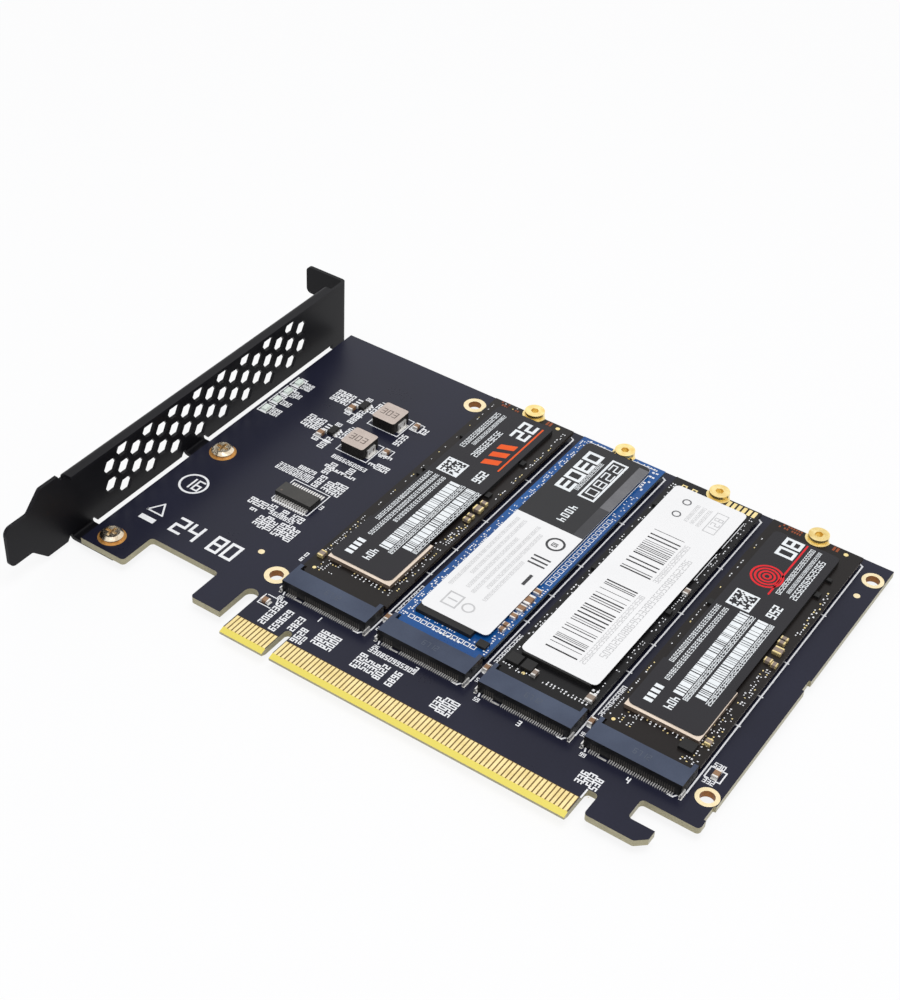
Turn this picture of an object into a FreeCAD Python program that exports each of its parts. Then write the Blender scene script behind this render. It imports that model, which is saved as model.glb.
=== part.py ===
import FreeCAD
import Part
import Sketcher
import math
import os

Vector = FreeCAD.Vector
doc = FreeCAD.newDocument("nvme_adapter")
os.makedirs("parts", exist_ok=True)

# Card datum: X along the edge connector from its first contact, Y up the card
# from the connector's lower edge, Z out of the component side.
sizes = {
    # circuit board
    "boardThick": 1.6,
    "boardLeft": -43.4,
    "boardRight": 106.0,
    "boardTop": 103.1,
    "leftFoot": 4.2,
    "recessLeft": -31.1,
    "recessRight": -12.1,
    "recessTop": 13.5,
    "slotOneLeft": -4.1,
    "tabLeft": -0.65,
    "slotOneTop": 14.1,
    "zeroEdge": 0.0,
    "keyLeft": 10.55,
    "keyRight": 12.45,
    "keyTop": 8.4,
    "tabRight": 83.65,
    "slotTwoRight": 86.3,
    "slotTwoTop": 8.4,
    "hookFoot": 2.6,
    "hookCorner": 97.2,
    "hookRight": 99.4,
    "hookRise": 4.6,
    "hookNeck": 93.45,
    "hookLip": 7.0,
    "rightFoot": 12.4,
    "tearDepth": 105.5,
    "tearLowA": 15.0,
    "tearHighA": 19.2,
    "tearLowB": 57.6,
    "tearHighB": 60.9,
    "cornerSmall": 0.9,
    "bevelRise": 1.3,
    "bevelDepth": 0.5,
    # mounting holes and lands
    "holeRadius": 1.6,
    "holeLeft": -1.7,
    "holeRight": 103.4,
    "holeLow": 20.4,
    "holeHigh": 97.5,
    "platingThick": 0.05,
    "screwX": -38.3,
    "screwLow": 8.6,
    "screwHigh": 46.3,
    # edge contacts
    "contactPitch": 1.0,
    "contactWidth": 0.7,
    "contactFoot": 1.3,
    "contactTop": 5.6,
    "longStart": 13.0,
    "shortCount": 11,
    "longCount": 71,
    # bracket
    "sheetThick": 0.86,
    "plateInner": -46.5,
    "bendInner": 0.5,
    "plateFoot": -2.2,
    "plateHead": 16.75,
    "tongueTip": -13.7,
    "tongueLow": 1.9,
    "tongueHigh": 12.5,
    "tongueEnd": -7.1,
    "shoulderStart": -2.9,
    "skirtStart": 99.4,
    "skirtFoot": -3.7,
    "tabPlane": 104.4,
    "tabHead": 14.05,
    "tabStep": 97.2,
    "tabReach": -58.65,
    "tabNotch": 6.3,
    "tabNotchX": -50.2,
    "flangeReach": -44.15,
    "flangeStart": 4.0,
    "flangeEnd": 96.5,
    "earWidth": 6.6,
    "earLow": 8.0,
    "earHigh": 45.9,
    "earReach": -34.8,
    "reliefTop": -0.8,
    "reliefWide": 0.5,
    "reliefSlope": 1.0,
    "earHole": 1.5,
    "tabCorner": 1.4,
    "ventLow": 1.8,
    "ventRise": 2.6,
    "ventStart": 18.2,
    "ventStep": 4.28,
    "ventFlats": 3.6,
    # bracket screws
    "screwShank": 1.49,
    "screwHead": 2.65,
    "screwHeadRise": 1.45,
    "screwTip": -3.3,
    "screwCrown": 0.7,
    "crossWidth": 0.75,
    "crossSpan": 3.0,
    "crossDepth": 0.9,
    # module sockets
    "slotPitch": 25.0,
    "slotFirst": 13.3,
    "socketHalf": 10.95,
    "socketBack": 17.3,
    "socketMouth": 22.3,
    "socketArm": 23.8,
    "socketRise": 3.1,
    "socketMouthHalf": 10.0,
    "socketSlotLow": 1.3,
    "socketSlotHigh": 2.3,
    "pinPitch": 0.5,
    "pinWidth": 0.22,
    "pinReach": 0.9,
    "pinRise": 0.25,
    # modules
    "moduleHalf": 11.0,
    "moduleEdgeHalf": 9.9,
    "moduleStart": 20.7,
    "moduleShoulder": 24.6,
    "moduleEnd": 100.7,
    "moduleLow": 1.4,
    "moduleThick": 0.8,
    "moduleNotch": 1.75,
    "chipRise": 1.0,
    "labelThick": 0.1,
    "labelCorner": 1.2,
    # posts and retaining screws
    "postRadius": 2.6,
    "postBore": 1.0,
    "collarRadius": 2.4,
    "collarRise": 1.2,
    "collarHex": 1.0,
    # power parts
    "coilX": -13.8,
    "coilY": 79.1,
    "coilStep": 12.4,
    "coilLong": 6.4,
    "coilWide": 6.6,
    "coilRise": 3.0,
    "coilFoot": 0.35,
    "coilStand": 0.05,
    "coilCorner": 0.6,
    "clockX": -13.8,
    "clockY": 43.3,
    "clockLong": 9.9,
    "clockWide": 3.9,
    "clockRise": 1.5,
    "clockFoot": 0.15,
}
# The row's frame sits at the middle of the four mounting holes.
origin = Vector(
    -(sizes["holeLeft"] + sizes["holeRight"]) / 2,
    -(sizes["holeLow"] + sizes["holeHigh"]) / 2,
    0,
)
sheet = doc.addObject("Spreadsheet::Sheet", "params")
for row, name in enumerate(sizes, start=1):
    sheet.set("A%d" % row, name)
    sheet.set("B%d" % row, str(sizes[name]))
    sheet.setAlias("B%d" % row, name)
doc.recompute()
made = []


def bind(item, prop, words):
    item.setExpression(prop, words)


def newBody(label):
    body = doc.addObject("PartDesign::Body", label)
    body.Label = label
    body.AllowCompound = True
    body.Placement = FreeCAD.Placement(origin, FreeCAD.Rotation())
    made.append(body)
    return body


def newSketch(body, role, offset=None):
    sketch = body.newObject("Sketcher::SketchObject", body.Name + "_sketch")
    plane = [item for item in body.Origin.OriginFeatures if item.Role == role][0]
    sketch.AttachmentSupport = [(plane, "")]
    sketch.MapMode = "FlatFace"
    if offset:
        bind(sketch, "AttachmentOffset.Base.z", offset)
    return sketch


def corners(sketch, names):
    """Closed outline whose every corner follows two sheet values."""
    first = sketch.GeometryCount
    points = [Vector(sizes[a], sizes[b], 0) for a, b in names]
    count = len(points)
    for i in range(count):
        sketch.addGeometry(Part.LineSegment(points[i], points[(i + 1) % count]), False)
    for i in range(count):
        link = ("Coincident", first + i, 2, first + (i + 1) % count, 1)
        sketch.addConstraint(Sketcher.Constraint(*link))
    for i, pair in enumerate(names):
        for kind, name in zip(("DistanceX", "DistanceY"), pair):
            rule = Sketcher.Constraint(kind, -1, 1, first + i, 1, sizes[name])
            index = sketch.addConstraint(rule)
            bind(sketch, "Constraints[%d]" % index, "params." + name)


def polygon(sketch, points):
    count = len(points)
    first = sketch.GeometryCount
    spots = [Vector(x, y, 0) for x, y in points]
    for i in range(count):
        sketch.addGeometry(Part.LineSegment(spots[i], spots[(i + 1) % count]), False)
    for i in range(count):
        link = ("Coincident", first + i, 2, first + (i + 1) % count, 1)
        sketch.addConstraint(Sketcher.Constraint(*link))


def rectangle(sketch, x0, x1, y0, y1):
    polygon(sketch, [(x0, y0), (x1, y0), (x1, y1), (x0, y1)])


def circle(sketch, x, y, radiusName):
    ring = Part.Circle(Vector(x, y, 0), Vector(0, 0, 1), sizes[radiusName])
    index = sketch.addGeometry(ring, False)
    rule = sketch.addConstraint(Sketcher.Constraint("Radius", index, sizes[radiusName]))
    bind(sketch, "Constraints[%d]" % rule, "params." + radiusName)


def pad(body, sketch, length, backward=False):
    feature = body.newObject("PartDesign::Pad", body.Name + "_pad")
    feature.Profile = sketch
    bind(feature, "Length", length)
    feature.Reversed = backward
    sketch.Visibility = False
    doc.recompute()
    return feature


def pocket(body, sketch, length=None, backward=False):
    feature = body.newObject("PartDesign::Pocket", body.Name + "_cut")
    feature.Profile = sketch
    if length:
        bind(feature, "Length", length)
    else:
        feature.Type = "ThroughAll"
        feature.Midplane = True
    feature.Reversed = backward
    doc.recompute()
    return feature


def edgesAt(shape, spots, axis, near=0.05):
    """Names of straight edges along one axis that pass through given spots."""
    names = []
    for index, edge in enumerate(shape.Edges, start=1):
        a = edge.Vertexes[0].Point
        b = edge.Vertexes[-1].Point
        run = b - a
        if run.Length < 0.1 or abs(abs(run[axis]) - run.Length) > 1e-6:
            continue
        flat = [i for i in range(3) if i != axis]
        for spot in spots:
            if abs(a[flat[0]] - spot[0]) < near and abs(a[flat[1]] - spot[1]) < near:
                names.append("Edge%d" % index)
    return names


def fillet(body, spots, axis, radius):
    base = body.Tip
    feature = body.newObject("PartDesign::Fillet", body.Name + "_round")
    feature.Base = (base, edgesAt(base.Shape, spots, axis))
    feature.Radius = radius
    doc.recompute()
    return feature


def slabs(label, boxes, low, rise):
    """Group of flat-lying rectangular solids that share one height."""
    body = newBody(label)
    sketch = newSketch(body, "XY_Plane", low)
    for box in boxes:
        rectangle(sketch, *box)
    pad(body, sketch, rise)
    return body


def facets(x, y, radius, count):
    """Corners of a regular prism, used for stems, collars and drive recesses."""
    turns = [2 * math.pi * (i + 0.5) / count for i in range(count)]
    return [(x + radius * math.cos(a), y + radius * math.sin(a)) for a in turns]


def softCorners(box, radius):
    """Rectangle whose corners are turned in three short steps."""
    x0, x1, y0, y1 = box
    points = []
    for cx, cy, start in (
        (x1 - radius, y1 - radius, 0), (x0 + radius, y1 - radius, 90),
        (x0 + radius, y0 + radius, 180), (x1 - radius, y0 + radius, 270),
    ):
        for step in range(4):
            turn = math.radians(start + 30 * step)
            points.append((cx + radius * math.cos(turn), cy + radius * math.sin(turn)))
    return points


def around(x, y, long, wide):
    return (x - long / 2, x + long / 2, y - wide / 2, y + wide / 2)


def dim(name):
    return sizes[name]


# Circuit board: outline, connector bevels, holes
board = newBody("adapter_board")
outline = newSketch(board, "XY_Plane")
corners(outline, [
    ("boardLeft", "leftFoot"), ("recessLeft", "leftFoot"),
    ("recessLeft", "recessTop"), ("recessRight", "recessTop"),
    ("recessRight", "leftFoot"), ("slotOneLeft", "leftFoot"),
    ("slotOneLeft", "slotOneTop"), ("tabLeft", "slotOneTop"),
    ("tabLeft", "zeroEdge"), ("keyLeft", "zeroEdge"),
    ("keyLeft", "keyTop"), ("keyRight", "keyTop"),
    ("keyRight", "zeroEdge"), ("tabRight", "zeroEdge"),
    ("tabRight", "slotTwoTop"), ("slotTwoRight", "slotTwoTop"),
    ("slotTwoRight", "hookFoot"), ("hookCorner", "hookFoot"),
    ("hookRight", "hookRise"), ("hookRight", "hookLip"),
    ("hookNeck", "hookLip"), ("hookNeck", "rightFoot"),
    ("boardRight", "rightFoot"), ("boardRight", "tearLowA"),
    ("tearDepth", "tearLowA"), ("tearDepth", "tearHighA"),
    ("boardRight", "tearHighA"), ("boardRight", "tearLowB"),
    ("tearDepth", "tearLowB"), ("tearDepth", "tearHighB"),
    ("boardRight", "tearHighB"), ("boardRight", "boardTop"),
    ("boardLeft", "boardTop"),
])
pad(board, outline, "params.boardThick", backward=True)
bevels = newSketch(board, "YZ_Plane", "params.tabLeft")
rise = dim("bevelRise")
depth = dim("bevelDepth")
under = -dim("boardThick")
polygon(bevels, [(-0.2, 0.2), (rise, 0.2), (rise, 0), (0, -depth), (-0.2, -depth)])
polygon(bevels, [
    (-0.2, under - 0.2), (rise, under - 0.2), (rise, under),
    (0, under + depth), (-0.2, under + depth),
])
pocket(board, bevels, "params.tabRight - params.tabLeft", backward=True)
fillet(board, [
    (dim("slotOneLeft"), dim("slotOneTop")), (dim("tabLeft"), dim("slotOneTop")),
], 2, 1.7)
fillet(board, [
    (dim("keyLeft"), dim("keyTop")), (dim("keyRight"), dim("keyTop")),
], 2, 0.94)
fillet(board, [
    (dim("tabRight"), dim("slotTwoTop")), (dim("slotTwoRight"), dim("slotTwoTop")),
    (dim("recessLeft"), dim("recessTop")), (dim("recessRight"), dim("recessTop")),
    (dim("hookNeck"), dim("rightFoot")), (dim("hookNeck"), dim("hookLip")),
    (dim("boardRight"), dim("rightFoot")),
    (dim("recessLeft"), dim("leftFoot")), (dim("recessRight"), dim("leftFoot")),
    (dim("slotTwoRight"), dim("hookFoot")), (dim("hookCorner"), dim("hookFoot")),
], 2, dim("cornerSmall"))
drill = newSketch(board, "XY_Plane")
holeSpots = [
    (x, y) for x in (dim("holeLeft"), dim("holeRight")) for y in (dim("holeLow"), dim("holeHigh"))
]
screwSpots = [(dim("screwX"), dim("screwLow")), (dim("screwX"), dim("screwHigh"))]
for x, y in holeSpots + screwSpots:
    circle(drill, x, y, "holeRadius")
pocket(board, drill)


def edgeContacts(label, level, backward):
    """Plated fingers, repeated along the two tongues of the edge connector."""
    body = newBody(label)
    for start, count in (("zeroEdge", "shortCount"), ("longStart", "longCount")):
        sketch = newSketch(body, "XY_Plane", level)
        middle = dim(start)
        half = dim("contactWidth") / 2
        rectangle(sketch, middle - half, middle + half, dim("contactFoot"), dim("contactTop"))
        feature = pad(body, sketch, "params.platingThick", backward)
        repeat = body.newObject("PartDesign::LinearPattern", body.Name + "_row")
        repeat.Originals = [feature]
        repeat.Direction = (sketch, ["H_Axis"])
        bind(repeat, "Length", "params.contactPitch * (params.%s - 1)" % count)
        bind(repeat, "Occurrences", "params." + count)
        body.Tip = repeat
        doc.recompute()
    return body


edgeContacts("edge_contacts_component_side", "params.zeroEdge", False)
edgeContacts("edge_contacts_solder_side", "-params.boardThick", True)

# Bracket: one folded sheet with tongue, vents, stiffening flange, ears, top tab
bracket = newBody("bracket")
sheetT = dim("sheetThick")
inner = dim("plateInner")
outer = inner - sheetT
bendIn = dim("bendInner")
bendOut = bendIn + sheetT
earTop = -dim("boardThick")
plate = newSketch(bracket, "YZ_Plane", "params.plateInner")
headFlat = dim("plateHead") - bendOut
polygon(plate, [
    (dim("tongueEnd"), dim("tongueLow")), (dim("shoulderStart"), dim("plateFoot")),
    (dim("skirtStart"), dim("plateFoot")), (dim("skirtStart"), dim("skirtFoot")),
    (dim("tabPlane") + sheetT - bendOut, dim("skirtFoot")),
    (dim("tabPlane") + sheetT - bendOut, dim("tabHead")),
    (dim("tabStep"), dim("tabHead")), (dim("flangeEnd"), headFlat),
    (dim("flangeStart"), headFlat), (dim("flangeStart") - 0.9, headFlat),
    (dim("flangeStart") - 1.6, dim("plateHead")),
    (dim("shoulderStart"), dim("plateHead")), (dim("tongueEnd"), dim("tongueHigh")),
    (dim("tongueTip"), dim("tongueHigh")), (dim("tongueTip"), dim("tongueLow")),
])
pad(bracket, plate, "params.sheetThick", backward=True)
# Lower edge cut back at the two ears, with a sloped relief on either side of each
foldLine = earTop - sheetT + bendOut
earHalf = dim("earWidth") / 2
slopeStart = earHalf + dim("reliefWide") + dim("reliefSlope")
reliefs = newSketch(bracket, "YZ_Plane", "params.plateInner")
for middle in (dim("earLow"), dim("earHigh")):
    side = [
        (slopeStart, dim("plateFoot") - 0.1),
        (earHalf + dim("reliefWide"), dim("reliefTop")),
        (earHalf, dim("reliefTop")),
        (earHalf, foldLine),
    ]
    left = [(middle - out, z) for out, z in side]
    right = [(middle + out, z) for out, z in side[::-1]]
    polygon(reliefs, left + right)
pocket(bracket, reliefs, "params.sheetThick")


def elbow(cx, cy, start, sweep, reach):
    """Profile of a quarter bend followed by a straight leg of given ends."""
    outerArc = []
    innerArc = []
    for i in range(7):
        turn = math.radians(start + sweep * i / 6)
        outerArc.append((cx + bendOut * math.cos(turn), cy + bendOut * math.sin(turn)))
        innerArc.append((cx + bendIn * math.cos(turn), cy + bendIn * math.sin(turn)))
    return outerArc + reach(outerArc[-1], innerArc[-1]) + innerArc[::-1]


# Stiffening flange, folded towards the board along the plate's upper edge
flange = newSketch(bracket, "XZ_Plane", "-params.flangeEnd")
polygon(flange, elbow(
    outer + bendOut, headFlat, 180, -90,
    lambda a, b: [(dim("flangeReach"), a[1]), (dim("flangeReach"), b[1])],
))
pad(bracket, flange, "params.flangeEnd - params.flangeStart")
# Ears, folded under the board at its two screw positions
for middle in ("params.earLow", "params.earHigh"):
    ear = newSketch(bracket, "XZ_Plane", "-(%s + params.earWidth / 2)" % middle)
    polygon(ear, elbow(
        outer + bendOut, foldLine, 180, 90,
        lambda a, b: [(dim("earReach"), a[1]), (dim("earReach"), b[1])],
    ))
    pad(bracket, ear, "params.earWidth")
# Top tab, folded outwards; it is screwed to the case
tab = newSketch(bracket, "XY_Plane", "params.skirtFoot")
polygon(tab, elbow(
    inner - bendOut, dim("tabPlane") + sheetT - bendOut, 0, 90,
    lambda a, b: [(dim("tabReach"), a[1]), (dim("tabReach"), b[1])],
))
pad(bracket, tab, "params.tabHead - params.skirtFoot")
trim = newSketch(bracket, "XZ_Plane", "-(params.tabPlane + 2)")
rectangle(trim, dim("tabReach") - 1, dim("tabNotchX"), dim("skirtFoot") - 1, dim("tabNotch"))
pocket(bracket, trim, "params.sheetThick + 4", backward=True)
vents = newSketch(bracket, "YZ_Plane", "params.plateInner")
reachOut = dim("ventFlats") / math.sqrt(3)
for column in range(17):
    for level in ((1, 3) if column % 2 == 0 else (0, 2, 4)):
        y = dim("ventStart") + column * dim("ventStep")
        z = dim("ventLow") + level * dim("ventRise")
        polygon(vents, [
            (y + reachOut * math.cos(math.radians(60 * i)),
             z + reachOut * math.sin(math.radians(60 * i)))
            for i in range(6)
        ])
pocket(bracket, vents)
earHoles = newSketch(bracket, "XY_Plane", "-params.boardThick")
for x, y in screwSpots:
    circle(earHoles, x, y, "earHole")
pocket(bracket, earHoles, "params.sheetThick * 2")
fillet(bracket, [
    (dim("tongueTip"), dim("tongueHigh")), (dim("tongueTip"), dim("tongueLow")),
], 0, 1.8)
fillet(bracket, [
    (dim("shoulderStart"), dim("plateHead")), (dim("shoulderStart"), dim("plateFoot")),
    (dim("tongueEnd"), dim("tongueHigh")), (dim("tongueEnd"), dim("tongueLow")),
], 0, 1.0)
fillet(bracket, [
    (dim("tabReach"), dim("tabHead")), (dim("tabReach"), dim("tabNotch")),
], 1, dim("tabCorner"))
print("board and bracket")

# Bracket screws: pan heads with a cross recess
screws = newBody("bracket_screws")
heads = newSketch(screws, "XY_Plane", "params.zeroEdge")
for x, y in screwSpots:
    circle(heads, x, y, "screwHead")
blank = pad(screws, heads, "params.screwHeadRise")
rims = [
    "Edge%d" % index for index, edge in enumerate(blank.Shape.Edges, start=1)
    if edge.BoundBox.ZMin > dim("screwHeadRise") - 0.01
]
crown = screws.newObject("PartDesign::Chamfer", "head_crown")
crown.Base = (blank, rims)
crown.Size = dim("screwCrown")
doc.recompute()
shanks = newSketch(screws, "XY_Plane", "params.zeroEdge")
for x, y in screwSpots:
    polygon(shanks, facets(x, y, dim("screwShank"), 16))
pad(screws, shanks, "-params.screwTip", backward=True)
cross = newSketch(screws, "XY_Plane", "params.screwHeadRise")
arm = dim("crossSpan") / 2
web = dim("crossWidth") / 2
for x, y in screwSpots:
    polygon(cross, [
        (x + a, y + b) for a, b in [
            (web, web), (web, arm), (-web, arm), (-web, web), (-arm, web), (-arm, -web),
            (-web, -web), (-web, -arm), (web, -arm), (web, -web), (arm, -web), (arm, web),
        ]
    ])
pocket(screws, cross, "params.crossDepth")

# Four module places: socket, contacts, hold-downs, module, chips, label
places = [dim("slotFirst") + k * dim("slotPitch") for k in range(4)]
pinSteps = [i for i in range(38) if i < 5 or i > 8]
memoryRows = {
    1: [(-7.9, 7.4, 82.7, 96.8), (-7.9, 7.4, 67.6, 81.8), (-7.0, 6.0, 47.4, 62.0)],
    2: [(-8.3, 8.2, 78.0, 97.6), (-8.3, 8.2, 54.0, 74.0)],
    3: [(-8.2, 8.0, 79.0, 96.0), (-8.2, 8.0, 55.0, 72.0)],
    4: [(-8.5, 7.3, 82.9, 95.6), (-8.5, 7.3, 67.7, 81.8), (-7.0, 6.0, 47.4, 62.0)],
}
controllers = {
    1: (-7.9, 8.5, 29.3, 45.6),
    2: (-8.3, 5.6, 27.2, 42.0),
    3: (-8.2, 8.0, 29.6, 44.0),
    4: (-9.0, 8.0, 29.4, 45.8),
}
labels = {
    1: (-8.0, 7.4, 30.5, 97.4),
    2: (-8.5, 8.6, 28.9, 98.2),
    3: (-9.1, 9.2, 30.1, 97.0),
    4: (-8.6, 7.4, 30.6, 96.2),
}
passives = {
    1: [(9.0, 65.0, 1.6, 0.9), (9.0, 62.6, 2.0, 1.8), (9.0, 59.6, 1.6, 0.9),
        (9.0, 58.0, 1.6, 0.9), (-9.6, 29.5, 1.4, 1.8)],
    2: [(9.4, 47.3, 1.5, 1.6), (9.4, 44.0, 1.6, 3.0), (9.4, 40.9, 1.6, 2.2),
        (9.4, 38.0, 1.4, 1.6), (9.5, 34.8, 1.5, 1.0), (9.5, 33.2, 1.5, 1.0)],
    3: [(10.0, 66.7, 1.2, 1.8), (9.6, 27.2, 1.6, 2.2), (-3.1, 26.4, 1.0, 1.8)],
    4: [(8.5, 66.2, 1.6, 0.9), (8.5, 64.8, 1.6, 0.9), (9.0, 62.2, 2.0, 2.0),
        (8.6, 58.4, 1.6, 1.2), (10.2, 58.0, 1.2, 1.2), (9.4, 30.8, 1.3, 1.6)],
}
powerChips = {
    2: [(8.8, 27.0, 2.4, 2.0)],
    3: [(-5.2, 27.6, 2.6, 2.8), (-8.6, 27.6, 3.0, 2.8)],
    4: [(6.6, 27.6, 3.2, 2.8)],
}


def beside(x, box):
    """Box given from a module's middle line, moved to that module's place."""
    return (x + box[0], x + box[1], box[2], box[3])


for number, x in enumerate(places, start=1):
    socket = newBody("socket_housing_%d" % number)
    shell = newSketch(socket, "XY_Plane")
    half = dim("socketHalf")
    mouthHalf = dim("socketMouthHalf")
    polygon(shell, [
        (x - half, dim("socketBack")), (x + half, dim("socketBack")),
        (x + half, dim("socketArm")), (x + mouthHalf, dim("socketArm")),
        (x + mouthHalf, dim("socketMouth")), (x - mouthHalf, dim("socketMouth")),
        (x - mouthHalf, dim("socketArm")), (x - half, dim("socketArm")),
    ])
    pad(socket, shell, "params.socketRise")
    mouth = newSketch(socket, "YZ_Plane", "%f" % (x - mouthHalf))
    rectangle(
        mouth, dim("moduleStart"), dim("socketMouth") + 0.5,
        dim("socketSlotLow"), dim("socketSlotHigh"),
    )
    pocket(socket, mouth, "2 * params.socketMouthHalf", backward=True)
    pins = []
    for i in pinSteps:
        at = x + (i - 18.5) * dim("pinPitch")
        back = dim("socketBack")
        pins.append((
            at - dim("pinWidth") / 2, at + dim("pinWidth") / 2, back - dim("pinReach"), back,
        ))
    slabs("socket_contacts_%d" % number, pins, "0", "params.pinRise")
    slabs("socket_holddowns_%d" % number, [
        (x - half - 0.3, x - half, 16.7, 18.6), (x + half, x + half + 0.3, 16.7, 18.6),
    ], "0", "1.2")

    module = newBody("module_board_%d" % number)
    card = newSketch(module, "XY_Plane", "params.moduleLow")
    wide = dim("moduleHalf")
    slim = dim("moduleEdgeHalf")
    polygon(card, [
        (x - slim, dim("moduleStart")), (x + slim, dim("moduleStart")),
        (x + slim, dim("moduleShoulder")), (x + wide, dim("moduleShoulder")),
        (x + wide, dim("moduleEnd")), (x - wide, dim("moduleEnd")),
        (x - wide, dim("moduleShoulder")), (x - slim, dim("moduleShoulder")),
    ])
    pad(module, card, "params.moduleThick")
    bite = newSketch(module, "XY_Plane", "params.moduleLow")
    circle(bite, x, dim("moduleEnd"), "moduleNotch")
    pocket(module, bite)

    level = "params.moduleLow + params.moduleThick"
    slabs(
        "module_memory_%d" % number, [beside(x, box) for box in memoryRows[number]],
        level, "params.chipRise",
    )
    slabs(
        "module_controller_%d" % number, [beside(x, controllers[number])],
        level, "params.chipRise",
    )
    sticker = newBody("module_label_%d" % number)
    stickerOutline = newSketch(sticker, "XY_Plane", level + " + params.chipRise")
    stickerBox = beside(x, labels[number])
    polygon(stickerOutline, softCorners(stickerBox, dim("labelCorner")))
    pad(sticker, stickerOutline, "params.labelThick")
    slabs(
        "module_capacitors_%d" % number,
        [around(x + a, b, long, broad) for a, b, long, broad in passives[number]],
        level, "0.8",
    )
    if number in powerChips:
        slabs(
            "module_power_chips_%d" % number,
            [around(x + a, b, long, broad) for a, b, long, broad in powerChips[number]],
            level, "0.7",
        )
    print("module place", number)

# Module posts soldered to the board, and the flanged screws that hold the modules
posts = newBody("module_posts")
postBase = newSketch(posts, "XY_Plane")
for x in places:
    polygon(postBase, facets(x, dim("moduleEnd"), dim("postRadius"), 16))
    polygon(postBase, facets(x, dim("moduleEnd"), dim("postBore"), 8))
pad(posts, postBase, "params.moduleLow")
retainers = newBody("module_retaining_screws")
collars = newSketch(retainers, "XY_Plane", level)
for x in places:
    polygon(collars, facets(x, dim("moduleEnd"), dim("collarRadius"), 28))
pad(retainers, collars, "params.collarRise")
stems = newSketch(retainers, "XY_Plane", level)
for x in places:
    polygon(stems, facets(x, dim("moduleEnd"), dim("postBore") - 0.02, 8))
pad(retainers, stems, "params.moduleThick + params.moduleLow - 0.1", backward=True)
drive = newSketch(retainers, "XY_Plane", level + " + params.collarRise")
for x in places:
    polygon(drive, facets(x, dim("moduleEnd"), dim("collarHex"), 6))
pocket(retainers, drive, "params.collarRise * 0.75")

# Power supply: two coils on metal feet, regulators, ceramic capacitors
for number in (1, 2):
    y = dim("coilY") - (number - 1) * dim("coilStep")
    coil = newBody("power_coil_%d" % number)
    core = newSketch(coil, "XY_Plane", "params.coilStand")
    box = around(dim("coilX"), y, dim("coilLong"), dim("coilWide"))
    polygon(core, softCorners(box, dim("coilCorner")))
    pad(coil, core, "params.coilRise - params.coilStand")
    left, right = box[:2]
    foot = dim("coilFoot")
    slabs("coil_terminals_%d" % number, [
        (left - foot, left, y - 1.5, y + 1.5), (right, right + foot, y - 1.5, y + 1.5),
    ], "0", "1.9")
powerRows = (dim("coilY"), dim("coilY") - dim("coilStep"))
slabs("regulators", [around(-22.5, y + 1.3, 1.6, 2.9) for y in powerRows], "0.1", "0.9")
slabs("regulator_leads", [
    around(-22.5 + side * 1.1, y + 1.3 + step * 0.95, 0.6, 0.4)
    for y in powerRows for side in (-1, 1) for step in (-1, 0, 1)
], "0", "0.25")
slabs("input_capacitors", [around(-24.4, y - 1.1, 1.4, 2.2) for y in powerRows], "0", "0.9")
slabs("output_capacitors", [around(-7.7, y + 2.3, 1.2, 1.9) for y in powerRows], "0", "0.9")
slabs("bypass_capacitors", [
    around(25.4, 23.8, 1.1, 2.0), around(50.4, 23.8, 1.1, 2.0),
    around(75.4, 23.8, 1.1, 2.0), around(102.2, 26.3, 1.3, 2.2),
    around(1.6, 12.5, 2.0, 1.3),
], "0", "0.8")
slabs("indicator_lamps", [
    around(-41.0, 78.6 - 4.3 * k, 1.3, 2.0) for k in range(4)
], "0", "0.6")

# Clock buffer: moulded body with fourteen leads on each long side
slabs(
    "clock_chip", [around(dim("clockX"), dim("clockY"), dim("clockLong"), dim("clockWide"))],
    "params.clockFoot", "params.clockRise - params.clockFoot",
)
side = dim("clockWide") / 2
slabs("clock_chip_leads", [
    around(dim("clockX") + (i - 6.5) * 0.65, dim("clockY") + way * (side + 0.5), 0.3, 1.0)
    for i in range(14) for way in (-1, 1)
], "0", "0.4")

doc.recompute()
for item in doc.Objects:
    if "Invalid" in item.State or "Error" in item.State:
        raise RuntimeError("bad object " + item.Name)
for item in made:
    shape = item.Shape
    if shape.isNull() or not shape.isValid() or not shape.Solids:
        raise RuntimeError("bad shape " + item.Label)
    shape.exportStep("parts/%s.step" % item.Label)
    print(item.Label, len(shape.Solids), round(shape.Volume, 2))
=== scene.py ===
import bpy
import math
import random
from mathutils import Matrix, Vector


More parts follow.
